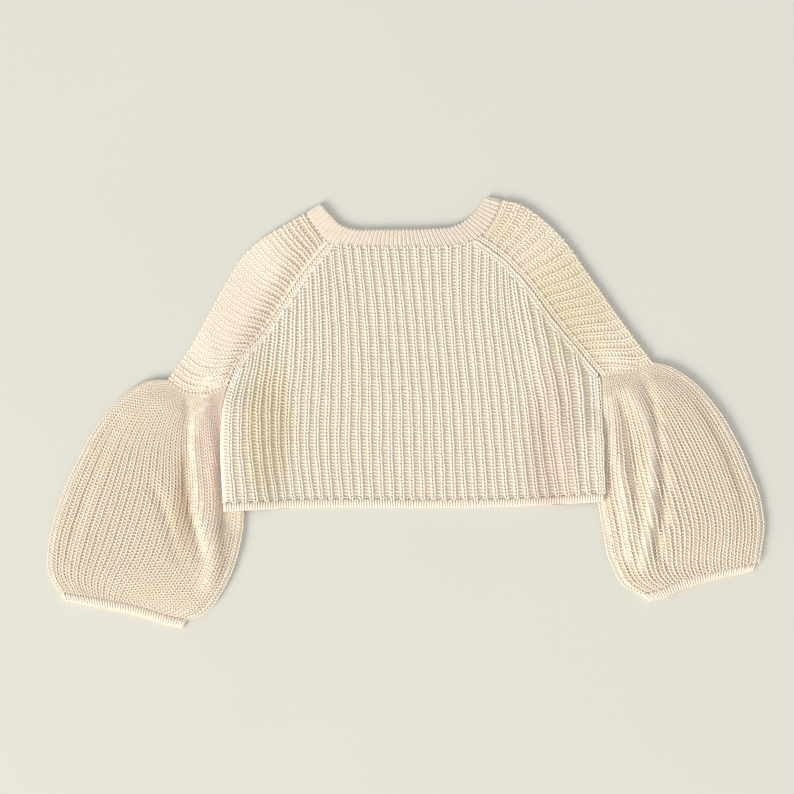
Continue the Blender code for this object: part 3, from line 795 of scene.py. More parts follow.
TREE_NAME = "Stitches along guides"
TREE_INPUTS = {
    "Guides": "Geometry",
    "Stitch": "Object",
    "Pitch": "Float",
    "Unevenness": "Float",
    "Seed": "Int",
    "Yarn": "Material",
}


def stitch_tree():
    """Geometry Nodes that set a stitch at every pitch along the guides."""
    tree = bpy.data.node_groups.new(TREE_NAME, "GeometryNodeTree")
    new_socket = tree.interface.new_socket
    new_socket(name="Geometry", in_out="OUTPUT", socket_type="NodeSocketGeometry")
    for name, kind in TREE_INPUTS.items():
        new_socket(name=name, in_out="INPUT", socket_type="NodeSocket" + kind)
    add = node_maker(tree)
    given = add("NodeGroupInput").outputs

    def read(label, kind="FLOAT"):
        made = add("GeometryNodeInputNamedAttribute", {"Name": label}, data_type=kind)
        return made.outputs["Attribute"]

    def random(reach, middle):
        """A number for each stitch, at most so many times the unevenness from the middle."""
        limits = {"Seed": given["Seed"]}
        for socket, way in ((2, -reach), (3, reach)):
            terms = {0: given["Unevenness"], 1: way, 2: middle}
            limits[socket] = add("ShaderNodeMath", terms, operation="MULTIPLY_ADD").outputs[0]
        return add("FunctionNodeRandomValue", limits, data_type="FLOAT").outputs[1]

    curves = add("GeometryNodeMeshToCurve", {"Mesh": given["Guides"]})
    length = {"Curve": curves.outputs["Curve"], "Length": given["Pitch"]}
    spaced = add("GeometryNodeResampleCurve", length, mode="LENGTH")
    axes = {
        "Primary Axis": read("up", "FLOAT_VECTOR"),
        "Secondary Axis": read("along", "FLOAT_VECTOR"),
    }
    turned = add("FunctionNodeAxesToRotation", axes, primary_axis="Z", secondary_axis="Y")
    swing = {"Axis": (0, 0, 1), "Angle": random(2.0, 0.0)}
    spin = add("FunctionNodeAxisAngleToRotation", swing)
    both = {"Rotation": turned.outputs["Rotation"], "Rotate By": spin.outputs["Rotation"]}
    swung = add("FunctionNodeRotateRotation", both, rotation_space="LOCAL")
    size = add("ShaderNodeCombineXYZ", {"X": read("width"), "Y": 1.0, "Z": read("height")})
    sizes = {0: size.outputs[0], "Scale": random(1.0, 1.0)}
    scaled = add("ShaderNodeVectorMath", sizes, operation="SCALE")
    stitch = add("GeometryNodeObjectInfo", {"Object": given["Stitch"]})
    instances = {
        "Points": spaced.outputs["Curve"],
        "Instance": stitch.outputs["Geometry"],
        "Rotation": swung.outputs["Rotation"],
        "Scale": scaled.outputs[0],
    }
    placed = add("GeometryNodeInstanceOnPoints", instances)
    real = add("GeometryNodeRealizeInstances", {"Geometry": placed.outputs["Instances"]})
    yarn_on = {"Geometry": real.outputs["Geometry"], "Material": given["Yarn"]}
    dressed = add("GeometryNodeSetMaterial", yarn_on)
    add("NodeGroupOutput", {"Geometry": dressed.outputs["Geometry"]})
    return tree


def set_input(modifier, label, value):
    """Sets a tree's input by its socket's identifier."""
    for item in modifier.node_group.interface.items_tree:
        if item.item_type == "SOCKET" and item.in_out == "INPUT" and item.name == label:
            modifier[item.identifier] = value
            return
    raise KeyError(label)


def knitted(name, rows, material, seed):
    """One mesh of stitches; rows are (guides, stitch object, pitch in mm) for each kind."""
    tree = bpy.data.node_groups.get(TREE_NAME) or stitch_tree()
    inputs = {
        "Unevenness": bpy.context.scene.sweater_knit.unevenness,
        "Seed": seed,
        "Yarn": material,
    }
    bm = bmesh.new()
    for guides, stitch, step in rows:
        carrier = add_object(name + "_guides", guides.mesh(name + "_guides"))
        modifier = carrier.modifiers.new("Stitches", "NODES")
        modifier.node_group = tree
        for label, value in {**inputs, "Stitch": stitch, "Pitch": step * MM}.items():
            set_input(modifier, label, value)
        bpy.context.view_layer.update()
        evaluated = carrier.evaluated_get(bpy.context.evaluated_depsgraph_get())
        bm.from_mesh(bpy.data.meshes.new_from_object(evaluated))
        bpy.data.objects.remove(carrier)
    whole = bpy.data.meshes.new(name)
    bm.to_mesh(whole)
    bm.free()
    for label in ("up", "along", "width", "height"):
        if label in whole.attributes:
            whole.attributes.remove(whole.attributes[label])
    whole.materials.clear()
    whole.materials.append(material)
    whole.shade_smooth()
    return add_object(name, whole)


# Yarn

# Broad tints, some painted light and shade and some the yarn's own tone: centre x, y and reach
# in mm, colour factor and strength, which is whole in the core, a share of the reach
TINT_CORE = 0.4
LIGHT_SHADE_AND_TONE_TINTS = [
    # darker and pinker over the body's right half
    ((205, -40), (50, 150), (0.92, 0.86, 0.865), 1.0),
    # painted light, pinkish, on the left balloon's pleat
    ((-262, -50), (32, 130), (1.1, 1.05, 1.09), 1.0),
    # painted shade, brown, in the trough to the left of the left balloon's pleat
    ((-307, -130), (18, 85), (0.90, 0.83, 0.76), 0.9),
    # painted shade, olive, where the body's left side slopes down off the sleeve
    ((-190, -20), (46, 140), (0.93, 0.91, 0.80), 1.0),
    # darker and yellower over the right upper sleeve
    ((230, 150), (80, 110), (0.93, 0.93, 0.86), 0.9),
    # a little darker and pinker over the left upper sleeve
    ((-230, 130), (62, 110), (0.965, 0.935, 0.955), 1.0),
]


def new_material(name):
    """A material, its tree and its shader."""
    material = bpy.data.materials.new(name)
    material.use_nodes = True
    return material, material.node_tree, material.node_tree.nodes["Principled BSDF"]


def yarn_material(name, colour):
    """Matt spun yarn: mottled colour, darker in the cloth's valleys and seams from painted shade,
    broad tints of painted light, shade and tone, and a fibre bump.
    """
    settings = bpy.context.scene.sweater_yarn
    material, tree, shader = new_material(name)
    add = node_maker(tree)
    place = add("ShaderNodeTexCoord").outputs["Object"]

    def math(operation, *values):
        return add("ShaderNodeMath", dict(enumerate(values)), operation=operation).outputs[0]

    def vector(operation, *values):
        return add("ShaderNodeVectorMath", dict(enumerate(values)), operation=operation).outputs

    def noise(scale, detail):
        inputs = {"Vector": place, "Scale": scale, "Detail": detail}
        return add("ShaderNodeTexNoise", inputs).outputs["Fac"]

    def mixed(kind, factor, a, b):
        inputs = {0: factor, 6: a, 7: (*b, 1)}
        return add("ShaderNodeMix", inputs, data_type="RGBA", blend_type=kind).outputs[2]

    # Painted shade: the shade attribute mixes the yarn towards its shaded colour
    shade = add("ShaderNodeAttribute", attribute_name="shade").outputs["Fac"]
    plain = add("ShaderNodeAttribute", attribute_name="plain").outputs["Fac"]
    deep = [c * f for c, f in zip(colour, settings.shade_colour)]
    base = mixed("MIX", shade, (*colour, 1), deep)
    # Broad tints of painted light and shade and of the yarn's tone
    for (x, y), (reach_x, reach_y), factor, strength in LIGHT_SHADE_AND_TONE_TINTS:
        moved = vector("SUBTRACT", place, ((x - CENTRE[0]) * MM, y * MM, 0))[0]
        scaled = vector("MULTIPLY", moved, (1 / (reach_x * MM), 1 / (reach_y * MM), 0))[0]
        far = vector("LENGTH", scaled)["Value"]
        fade = {"Value": far, "From Min": 1.0, "From Max": TINT_CORE, "To Max": strength}
        near = add("ShaderNodeMapRange", fade, interpolation_type="SMOOTHSTEP")
        base = mixed("MULTIPLY", near.outputs["Result"], base, factor)
    base = mixed("MULTIPLY", math("MULTIPLY", noise(14.0, 3.0), 0.1), base, (0.82, 0.79, 0.72))
    fibre = math("MULTIPLY", noise(settings.fibre_scale * 0.35, 2.0), 0.22)
    base = mixed("MULTIPLY", fibre, base, (0.74, 0.70, 0.62))

    # Ribs and chevrons of the stitches on the sides that have no loops of their own
    knit = add("ShaderNodeUVMap", uv_map="knit").outputs["UV"]
    across, length, _ = add("ShaderNodeSeparateXYZ", {0: knit}).outputs
    rib = math("ABSOLUTE", math("SINE", math("MULTIPLY", across, np.pi)))
    lean = math("ABSOLUTE", math("SUBTRACT", math("FRACT", across), 0.5))
    row = math("MULTIPLY", math("ADD", length, lean), np.pi)
    row = math("MULTIPLY", math("ABSOLUTE", math("SINE", row)), 0.5)
    relief = math("MULTIPLY", math("ADD", rib, row), plain)
    fuzz = math("ADD", math("MULTIPLY", noise(settings.fibre_scale, 3.0), 0.35), relief)
    bump = add("ShaderNodeBump", {"Strength": 0.8, "Distance": 0.001, "Height": fuzz})
    surface = {
        "Base Color": base,
        "Normal": bump.outputs["Normal"],
        "Roughness": 0.88,
        "Specular IOR Level": 0.25,
        "Sheen Weight": 0.12,
        "Sheen Roughness": 0.5,
    }
    feed(tree, shader, surface)
    return material


def yarn(kind):
    """The body, sleeve or band yarn, made once."""
    name = kind + "_yarn_knit"
    colour = getattr(bpy.context.scene.sweater_yarn, kind)
    return bpy.data.materials.get(name) or yarn_material(name, tuple(colour))


STITCH_NAMES = ("knit_stitch", "purl_bar", "link_strand", "balloon_stitch")


def loops():
    """The stitches that the tree repeats, made once."""
    settings = bpy.context.scene.sweater_knit
    if "knit_stitch" not in bpy.data.objects:
        knit_stitch(settings.yarn_radius / MM)
        balloon_stitch(settings.yarn_radius / MM)
        purl_bar(settings.purl_radius / MM)
        link_strand(settings.link_radius / MM, HEM_DEPTH * LINK_LENGTH)
    return [bpy.data.objects[name] for name in STITCH_NAMES]


def pitch():
    """Length of one stitch in mm."""
    return bpy.context.scene.sweater_knit.stitch_pitch / MM


def rib_height():
    """Height of a rib on the body in mm."""
    return bpy.context.scene.sweater_knit.rib_height / MM


def declare(piece, node, stitches):
    """Parents a shell and its stitches to the root and hides the part of model.glb that they stand
    for.
    """
    for made in (piece, *stitches):
        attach(made, "root")
    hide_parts(node)


def seam_bars(guides, points, slant):
    """Adds guides for yarn bars that cross a seam, slanting by a share of their length."""
    forward = np.gradient(points, axis=0)
    forward /= np.linalg.norm(forward, axis=1, keepdims=True)
    up = np.broadcast_to((0.0, 0.0, 1.0), points.shape)
    direction = forward + slant * np.cross(up, forward)
    direction /= np.linalg.norm(direction, axis=1, keepdims=True)
    guides.add(points, up, direction, 1.0, 1.0)


# Body panels


def body_lines(ribs, rows):
    """(plan points as (row, rib, xy), distances from the hem, from the top) of body ribs."""
    table = np.array(GUIDE_RIBS, float)
    columns, below, above = [], [], []
    y = np.linspace(*BODY_REACH, BODY_SAMPLES)
    for rib in ribs:
        guide = blend(table[:, 0], table[:, 1:], np.array([rib]))[0]
        x = blend(RIB_LEVELS, guide, y)
        bottom = np.interp(0, y - hem_seam(x), y) + SEAM_GAP
        top = y[np.argmax(y >= body_top(x))]
        at = end_rows(top - bottom, rows)
        columns.append(np.stack([blend(RIB_LEVELS, guide, bottom + at), bottom + at], -1))
        below.append(at)
        above.append(top - bottom - at)
    return np.stack(columns, 1), np.stack(below, 1), np.stack(above, 1)


def body_rib_numbers(step):
    """Rib numbers across the body, close together near each edge."""
    first, last = BODY_EDGE_RIBS
    near = np.array(EDGE_STEPS)
    low, high = (np.ceil(end / step) for end in (first + EDGE_CLEAR, last - EDGE_CLEAR))
    return np.concatenate([first + near, step * np.arange(low, high), last - near[::-1]])


def seam_holes(ribs, distance, every=1.0):
    """1 in the small holes of a seam, one at each rib's valley, fading out away from it."""
    phase = (ribs / every) % 1
    across = np.minimum(phase, 1 - phase) * every * BODY_RIB_PITCH
    past = np.maximum(0, distance - HOLE_START)
    return np.exp(-((across / HOLE_REACH) ** 2) - (past / HOLE_REACH) ** 2)


def side_distance(plan):
    """Distance across the body's rows from its nearer side."""
    x = plan[..., 0]
    return np.minimum(np.abs(x - x[:, :1]), np.abs(x - x[:, -1:]))


def front_surface(plan, ribs, below, above):
    """(Z, shade) of the front panel's outer side."""
    near = raglan_distance(plan)
    wale, left = border(near, "body")
    ribbed = np.where(ribs > BODY_EDGE_RIBS[1] - 0.5, 1, rib_profile(ribs)) * left
    relief = UNDER * rib_height() * np.maximum(ribbed, wale)
    side = side_distance(plan)
    top_holes = seam_holes(ribs, above, 0.5) * (near > HOLE_CLEAR)
    hole = np.maximum(seam_holes(ribs, below), top_holes)
    height = (FRONT_WALL - EDGE_LIP + relief) * nose(side, PANEL_EDGE_RADIUS)
    height -= seam_dip(np.minimum(below, np.minimum(above, near))) + HOLE_DEPTH * hole
    # Painted shade: darker in the valleys, along the raglans and in the seam holes, lighter under
    # the border's wale and at the sides
    shade = valley_shade(ribbed, wale) * (SIDE_SHADE + (1 - SIDE_SHADE) * ease(side, *SIDE_FADE))
    shade += seam_shade(near) + HOLE_SHADE * hole
    return body_rise(plan) + INSIDE_TOP + EDGE_LIP + height, shade


def front_lines(numbers, seat):
    """(guide lines along body ribs, the vector over one rib, where the stitches are shown)."""
    plan, below, above = body_lines(numbers, GUIDE_ROWS)
    z = body_rise(plan) + VALLEY_TOP + CREST_SEAT * rib_height() * seat
    lines = with_height(plan, z).transpose(1, 0, 2)
    across = np.gradient(lines, np.asarray(numbers, float), axis=0)
    shown = (below > STITCH_CLEAR[0]) & (above > STITCH_CLEAR[1])
    shown &= raglan_distance(plan) > BORDER_END["body"][0] + WALE_CLEAR
    return lines, across, shown.T


def border_wales():
    """Guides for the body's wales along both raglans."""
    guides = Guides()
    for side, table in RAGLANS.items():
        curve = smooth_curve(table)
        forward = np.gradient(curve, axis=0)
        forward /= np.linalg.norm(forward, axis=1, keepdims=True)
        inward = np.stack([forward[:, 1], -forward[:, 0]], -1) * (1 if side == "right" else -1)
        line = (curve + inward * BORDER_MIDDLE)[BORDER_SPAN]
        points = with_height(line, body_rise(line) + VALLEY_TOP + WALE_SEAT["body"] * rib_height())
        across = with_height(inward[BORDER_SPAN], 0.0) * BORDER_STITCH
        points, across = (values[None, ::-1][:, ::SEAM_STEP_POINTS] for values in (points, across))
        wales(points, across, guides=guides)
    return guides


class SWEATER_OT_front(bpy.types.Operator):
    """Front panel in lengthwise one-by-one rib, with its stitches"""

    bl_idname = "sweater.front"
    bl_label = "Front panel"

    def execute(self, context):
        ribs = body_rib_numbers(1 / RIB_SAMPLES)
        plan, below, above = body_lines(ribs, BODY_ROWS)
        z, shade = front_surface(plan, ribs, below, above)
        outer = Skin(with_height(plan, z), ribs, below / pitch(), shade, at=ribs)
        plain = body_rib_numbers(INSIDE_RIB_STEP)
        plan, below, _ = body_lines(plain, PLAIN_ROWS)
        inside = with_height(plan, body_rise(plan) + INSIDE_TOP)
        inner = Skin(inside, plain, below / pitch(), 0, 1, plain)
        panel = shell("front_panel_cloth", outer, inner, yarn("body"))

        # The last wale's line is made with a neighbour, for its direction across
        first, last = BODY_EDGE_RIBS
        edge = front_lines([last - EDGE_WALE - EDGE_NEIGHBOUR, last - EDGE_WALE], 1.0)
        edge = (values[1:] for values in edge)
        crests = front_lines(np.arange(first + 1, last, 1.0), 1.0)
        valleys = front_lines(np.arange(first + 0.5, last - 0.5, 1.0), BAR_SEAT)
        knit, purl, _, loose = loops()
        rows = [
            (wales(*crests), knit, pitch()),
            (wales(*edge, EDGE_WALE_SIZE), knit, pitch()),
            (wales(*valleys), purl, pitch()),
            (border_wales(), loose, pitch()),
        ]
        stitches = knitted("front_panel_stitches", rows, yarn("body"), 11)
        declare(panel, "front_panel",
                [stitches])
        return {"FINISHED"}


class SWEATER_OT_back(bpy.types.Operator):
    """Back panel, plain where it lies on the surface and on the sleeves"""

    bl_idname = "sweater.back"
    bl_label = "Back panel"

    def execute(self, context):
        ribs = body_rib_numbers(INSIDE_RIB_STEP)
        plan, below, _ = body_lines(ribs, PLAIN_ROWS * 2)
        rise = body_rise(plan)
        under = with_height(plan, rise + (BACK_WALL - EDGE_LIP) * (1 - nose(side_distance(plan))))
        outer = Skin(under, ribs, below / pitch(), 0, 1, ribs)
        inner = Skin(with_height(plan, rise + BACK_WALL), ribs, below / pitch(), 0, 1, ribs)
        panel = shell("back_panel_cloth", outer, inner, yarn("body"))
        declare(panel, "back_panel",
                [])
        return {"FINISHED"}


# Flattened tubes


def fractions_across(width, spans, inset):
    """Fractions across a flattened tube: some close to each folded edge, the rest even."""
    close = (inset + NOSE_RADIUS * np.array(NOSE_STEPS)) / width
    first = (inset + NOSE_RADIUS) / width
    return np.concatenate([close, np.linspace(first, 1 - first, spans + 1), 1 - close[::-1]])


def rib_at(u, width, ribs):
    """Rib number at a fraction across a tube with that many ribs."""
    first = NOSE_RADIUS / width
    return np.clip((u - first) / (1 - 2 * first), 0, 1) * ribs


def fraction_of(number, width, ribs):
    """Fraction across a tube of a rib number."""
    first = NOSE_RADIUS / width
    return first + np.asarray(number) / ribs * (1 - 2 * first)


def ring_fractions(top_spans, bottom_spans):
    """Fractions round a skin: 0 to 1 over the top and 1 to 2 back underneath."""
    top = np.linspace(0, 1, top_spans + 1 + 2 * len(NOSE_STEPS))
    bottom = np.linspace(2, 1, bottom_spans + 1 + 2 * len(NOSE_STEPS))
    return np.concatenate([top, bottom[-2:0:-1]])


def length_of(plan):
    """Length of a piece down its middle."""
    return np.linalg.norm(plan(0.5, 1) - plan(0.5, 0))


class Tube:
    """A flattened tube, open at both ends, with ribs on its upper side.

    rise(points, u, v) gives the lift of its front half and how much of the ribs is left.
    """

    def __init__(self, plan, ribs, relief, rise, crown=0.0, hollow=MAX_HOLLOW, dip=SEAM_DIP,
                 smooth=None, dark=BAND_DARK):
        self.plan, self.ribs, self.relief, self.rise = plan, ribs, relief, rise
        self.crown, self.hollow, self.dip, self.dark = crown, hollow, dip, dark
        self.smooth = smooth or (lambda points: np.zeros(len(points)))
        self.reach = LOW_REACH if hollow else 0
        self.length = length_of(plan)

    def width(self, v):
        return np.linalg.norm(self.plan(1, v) - self.plan(0, v))

    def low_rise(self, u, v):
        """The least lift near each place, which keeps the inside clear of the folds."""
        around = [np.clip(u + step, 0, 1) for step in (-self.reach, 0, self.reach)]
        return np.min([self.rise(self.plan(at, v), at, v)[0] for at in around], axis=0)

    def top(self, u, v, profile):
        """Z of the upper side without its rounded edges, where profile is the rib's height."""
        lift, left = self.rise(self.plan(u, v), u, v)
        spacing = self.width(v) / self.ribs if self.ribs else BODY_RIB_PITCH
        height = self.relief * min(1, spacing / FULL_SPACING)
        dip = seam_dip(min(v, 1 - v) * self.length, self.dip)
        crown = self.crown * 4 * v * (1 - v)
        return lift + VALLEY_TOP + height * profile * left + crown - dip

    def half(self, v, spans, inset, outside, upper):
        """(points, rib numbers, shade, plainness) of a row of a skin's upper or lower side."""
        width = self.width(v)
        u = fractions_across(width, spans, inset)
        place = self.plan(u, v)
        number = rib_at(u, width, max(self.ribs, 1))
        profile = rib_profile(number) if self.ribs else np.zeros(len(u))
        low = self.low_rise(u, v)
        under = np.maximum(0, low - self.hollow)
        if outside:
            z = self.top(u, v, UNDER * profile) if upper else under
        else:
            z = low + INSIDE_TOP if upper else under + BACK_WALL
        reach = np.minimum(u, 1 - u) * width - inset
        seen = float(outside and upper)
        # Painted shade: darker in the valleys, lighter on the rounded edges and on the stretched
        # pleats
        crest, valley = self.dark
        light = EDGE_LIGHT * np.maximum(self.smooth(place), 1 - ease(reach, *EDGE_LIT))
        shade = seen * (valley - (valley - crest) * profile) * (1 - light)
        return rounded(place, z, under, reach), number, shade, np.full(len(u), 1 - seen)

    def skin(self, rows, top_spans, bottom_spans, inset, outside):
        """The tube's outside or its inside."""
        lines = []
        for v in rows:
            over = self.half(v, top_spans, inset, outside, True)
            back = self.half(v, bottom_spans, inset, outside, False)
            lines.append([np.concatenate([a, b[-2:0:-1]]) for a, b in zip(over, back)])
        points, rib, shade, plain = (np.stack(values) for values in zip(*lines))
        row = np.array(rows)[:, None] * self.length / pitch()
        return Skin(points, rib, row, shade, plain, ring_fractions(top_spans, bottom_spans))

    def shell(self, name, rows, spans, plain_spans, material):
        outer = self.skin(rows, spans, plain_spans, 0, True)
        inner = self.skin(rows, plain_spans, plain_spans, BACK_WALL, False)
        return shell(name, outer, inner, material, ring=True)

    def lines(self, numbers, rows, profile):
        """Guide lines along ribs on the upper side, with the vector over one rib."""
        points = []
        for v in rows:
            width = self.width(v)
            u = fraction_of(numbers, width, self.ribs)
            reach = np.minimum(u, 1 - u) * width
            points.append(rounded(self.plan(u, v), self.top(u, v, profile), 0, reach))
        lines = np.stack(points, 1)
        return lines, np.gradient(lines, np.asarray(numbers, float), axis=0)


class CurvedTube(Tube):
    """A tube along a bent line, whose width is measured along the bend."""

    def width(self, v):
        line = self.plan(np.linspace(0, 1, WIDTH_SAMPLES), v)
        return np.linalg.norm(np.diff(line, axis=0), axis=1).sum()


def balloon_plan(side):
    """Plan of a balloon sleeve: u from its outer fold to its inner one, v from elbow to cuff."""
    shape = SLEEVES[side]
    patch = coons(*(smooth_curve(shape[name]) for name in ("outer", "inner", "elbow", "cuff_top")))

    def plan(u, v):
        u = np.asarray(u, float)
        lean = shape["lean"] * ease(v, *LEAN_START) * (1 - ease(v, *LEAN_END))
        return patch(u + lean * (u * (1 - u)) ** 2, v)

    return plan


def balloon_rise(side, plan):
    """Puff and folds of a balloon sleeve, pressed flat where the body lies over it."""

    def rise(points, u, v):
        width = np.linalg.norm(plan(1, v) - plan(0, v))
        edge = ease(np.minimum(u, 1 - u) * width, *PUFF_EDGE)
        puff = PUFF * edge * ease(v, *PUFF_START) * (1 - PUFF_LOSS * ease(v, *PUFF_END))
        clear = 1 - cover(side, points)
        creased = fold_height(side, points) * (1 - FOLD_LOSS * ease(v, *FOLD_END))
        return np.maximum(0, puff + creased) * clear, clear

    return rise


def length_rows(length, count):
    """Fractions along a tube, close together near both its ends."""
    return SEAM_GAP / length + end_rows(length - 2 * SEAM_GAP, count) / length


class SWEATER_OT_balloons(bpy.types.Operator):
    """Both balloon lower sleeves, gathered at the elbow and at the cuff"""

    bl_idname = "sweater.balloons"
    bl_label = "Balloon sleeves"

    def execute(self, context):
        _, purl, _, loose = loops()
        for side, shape in SLEEVES.items():
            plan, ribs, name = balloon_plan(side), shape["ribs"], "balloon_" + side
            tube = Tube(plan, ribs, rib_height(), balloon_rise(side, plan), dark=BALLOON_DARK,
                        smooth=lambda points, side=side: smooth_zone(side, points))
            rows = length_rows(tube.length, BALLOON_ROWS)
            cloth = tube.shell(name + "_cloth", rows, RIB_SAMPLES * ribs, BALLOON_PLAIN_SPANS,
                               yarn("sleeve"))
            crests = [-OUTER_WALE, *np.arange(0.5, ribs), ribs + OUTER_WALE]
            made = []
            for numbers, (seat, size), stitch in (
                (crests, BALLOON_KNIT, loose),
                (np.arange(0.0, ribs + 1), BALLOON_PURL, purl),
            ):
                guide_rows = length_rows(tube.length, GUIDE_ROWS)[1:-1]
                lines, across = tube.lines(numbers, guide_rows, seat)
                flat = smooth_zone(side, lines)
                guides = wales(lines, across, ~hidden(side, lines), size, flat=flat)
                made.append((guides, stitch, pitch()))
            stitches = knitted(name + "_stitches", made, yarn("sleeve"), 21)
            declare(cloth, name,
                    [stitches])
        return {"FINISHED"}


# Upper sleeves


def sleeve_relief(distance):
    """Rib height of an upper sleeve, which fades from its raglan to its fold."""
    fade = ease(distance, *RELIEF_FADE)
    return rib_height() * (FOLD_RELIEF + (RAGLAN_RELIEF - FOLD_RELIEF) * (1 - fade))


class UpperSleeve:
    """An upper sleeve: u runs from its raglan to its shoulder fold, v from neck to elbow."""

    def __init__(self, side):
        self.side, self.shape = side, SLEEVES[side]
        raglan, shoulder = RAGLANS[side], self.shape["shoulder"]
        self.plan = coons(
            smooth_curve(raglan[:-1] + [self.shape["inner_corner"]]),
            smooth_curve(shoulder),
            section(smooth_curve(BAND_SEAM), raglan[0], shoulder[0]),
            smooth_curve(self.shape["elbow"])[::-1],
        )
        self.length = length_of(self.plan)
        self.ends = SEAM_GAP / self.length, 1 - SEAM_GAP / self.length

    def width(self, v):
        return np.linalg.norm(self.plan(1, v) - self.plan(0, v))

    def rise(self, u, v):
        """How far the front half is lifted."""
        edge = ease(np.minimum(u, 1 - u) * self.width(v), *PUFF_EDGE)
        puff = SLEEVE_PUFF * edge * ease(v, *SLEEVE_PUFF_START) * (1 - ease(v, *PUFF_END))
        creased = fold_height(self.side, self.plan(u, v)) * ease(v, *SLEEVE_FOLD_START)
        return np.maximum(0, puff + creased)

    def bend(self, u, v, width):
        """How far a rib runs to the elbow: hooked at the border and leaning to the fold."""
        hook = HOOK * np.exp(-((u * width / HOOK_REACH) ** 2)) / self.length
        return hook + self.shape["slant"] * u * ease(v, *SLANT_START)

    def softness(self, u, v, width):
        """How flat and even the knit looks, from 0 at its borders."""
        crisp = CRISP_SHARE * (ease(v, *CRISP_ROWS) * ease(u, *CRISP_ACROSS))
        soft = self.shape["softness"] * ease(v, *SOFT_START) * (1 - crisp)
        reach = SOFT_REACH[1] - SOFT_WIDER * ease(v, *SOFT_WIDER_ROWS)
        return soft * ease(u * width, SOFT_REACH[0], reach)

    def surface(self, u, v, number, lift, width):
        """(Z, shade) of the outer side's front half in one row."""
        distance = u * width
        wale, left = border(distance, "sleeve")
        bent = number - self.bend(u, v, width) * UPPER_SLEEVE_RIBS
        profile = rib_profile(bent) * left
        ends = min(v, 1 - v) * self.length
        soft = np.maximum(self.softness(u, v, width), smooth_zone(self.side, self.plan(u, v)))
        relief = sleeve_relief(distance) * profile * (1 - SOFT_LOSS * soft)
        relief = np.maximum(relief, WALE_RELIEF * rib_height() * wale)
        z = lift + VALLEY_TOP + UNDER * relief - np.maximum(seam_dip(ends), seam_dip(distance))
        # Painted shade: darker in the valleys and along the seams, lighter under the border's
        # wale, where the knit is soft and at the fold
        shade = valley_shade(profile, wale) * (1 - SOFT_LIGHT * soft)
        shade *= FOLD_SHADE + (1 - FOLD_SHADE) * ease((1 - u) * width, *FOLD_FADE)
        covered = SEAM_DARK * (1 - ease(u, *ELBOW_SHOWN)) * (v > 0.5)
        return z, shade + seam_shade(np.minimum(distance, ends + covered))

    def half(self, v, number, inset, outside, front):
        """(points, shade, plainness) of a row of a skin's half, from the raglan to the fold."""
        seen, width = outside and front, self.width(v)
        close = 1 - (inset + NOSE_RADIUS * np.array(NOSE_STEPS[::-1])) / width
        near, last = RAGLAN_GAP / width, 1 - (inset + NOSE_RADIUS) / width
        if seen:
            near = near + np.array(BORDER_STEPS) / width
            u = np.concatenate([near, np.linspace(near[-1], last, SLEEVE_SPANS + 1)[1:], close])
        else:
            u = np.concatenate([np.linspace(near, last, SLEEVE_PLAIN_SPANS + 1), close])
        lift = self.rise(u, v)
        under = np.maximum(0, lift - MAX_HOLLOW)
        shade = np.zeros(len(u))
        if seen:
            z, shade = self.surface(u, v, number, lift, width)
        elif outside:
            z = under
        else:
            z = lift + INSIDE_TOP if front else under + BACK_WALL
        points = rounded(self.plan(u, v), z, under, (1 - u) * width - inset)
        return points, shade, np.full(len(u), float(not seen))

    def cloth(self, name):
        """The shell, whose rows run from the front raglan over the fold to the back raglan."""
        skins = []
        for samples, inset, outside in ((RIB_SAMPLES, 0, True), (2, BACK_WALL, False)):
            count = samples * UPPER_SLEEVE_RIBS + 1
            numbers = np.linspace(0, UPPER_SLEEVE_RIBS, count)
            rows = []
            for v, number in zip(np.linspace(*self.ends, count), numbers):
                halves = (self.half(v, number, inset, outside, front) for front in (True, False))
                rows.append([np.concatenate([a, b[-2::-1]]) for a, b in zip(*halves)])
            points, shade, plain = (np.stack(values) for values in zip(*rows))
            steps = np.diff(points[0], axis=0, prepend=points[0][:1])
            row = np.cumsum(np.linalg.norm(steps, axis=1)) / pitch()
            at = np.linspace(0, 2, points.shape[1])
            skins.append(Skin(points, numbers[:, None], row, shade, plain, at))
        return shell(name, *skins, yarn("sleeve"))

    def guides(self, numbers, seat):
        """Guide lines along the ribs, from the border to the shoulder fold."""
        v0, v1 = self.ends
        lines, shown, flat = [], [], []
        for number in numbers:
            v = v0 + (v1 - v0) * number / UPPER_SLEEVE_RIBS
            width = self.width(np.clip(v, 0, 1))
            u = np.linspace(BORDER_END["sleeve"][0] / width, 1 - FOLD_CLEAR / width, GUIDE_ROWS)
            free = v + self.bend(u, v, width)
            bent = np.clip(free, v0, v1)
            soft = self.softness(u, bent, width)
            z = self.rise(u, bent[len(u) // 2]) + VALLEY_TOP
            z += CREST_SEAT * sleeve_relief(u * width) * seat * (1 - SOFT_LOSS * soft)
            line = rounded(self.plan(u, bent), z, 0, (1 - u) * width)
            lines.append(line)
            bare = np.where(u < ELBOW_SHOWN[0], self.shape["bare"], ELBOW_CLEAR)
            shown.append((free > v0 + NECK_CLEAR) & (free < v1 - bare))
            flat.append(np.maximum(soft, smooth_zone(self.side, line)))
        lines = np.stack(lines)
        across = np.gradient(lines, np.asarray(numbers, float), axis=0)
        return wales(lines, across, np.stack(shown), flat=np.stack(flat))

    def add_border_wale(self, guides):
        """Adds the wale along the raglan to the guides."""
        v = np.linspace(*BORDER_ROWS, GUIDE_ROWS)
        u = np.array([BORDER_MIDDLE / self.width(at) for at in v])
        z = np.array([self.rise(np.array([a]), b)[0] for a, b in zip(u, v)])
        z += VALLEY_TOP + WALE_SEAT["sleeve"] * rib_height()
        outward = with_height(self.plan(u + BORDER_ASIDE, v) - self.plan(u, v), 0.0)
        outward *= BORDER_STITCH / np.linalg.norm(outward, axis=1, keepdims=True)
        wales(with_height(self.plan(u, v), z)[None], outward[None], guides=guides)


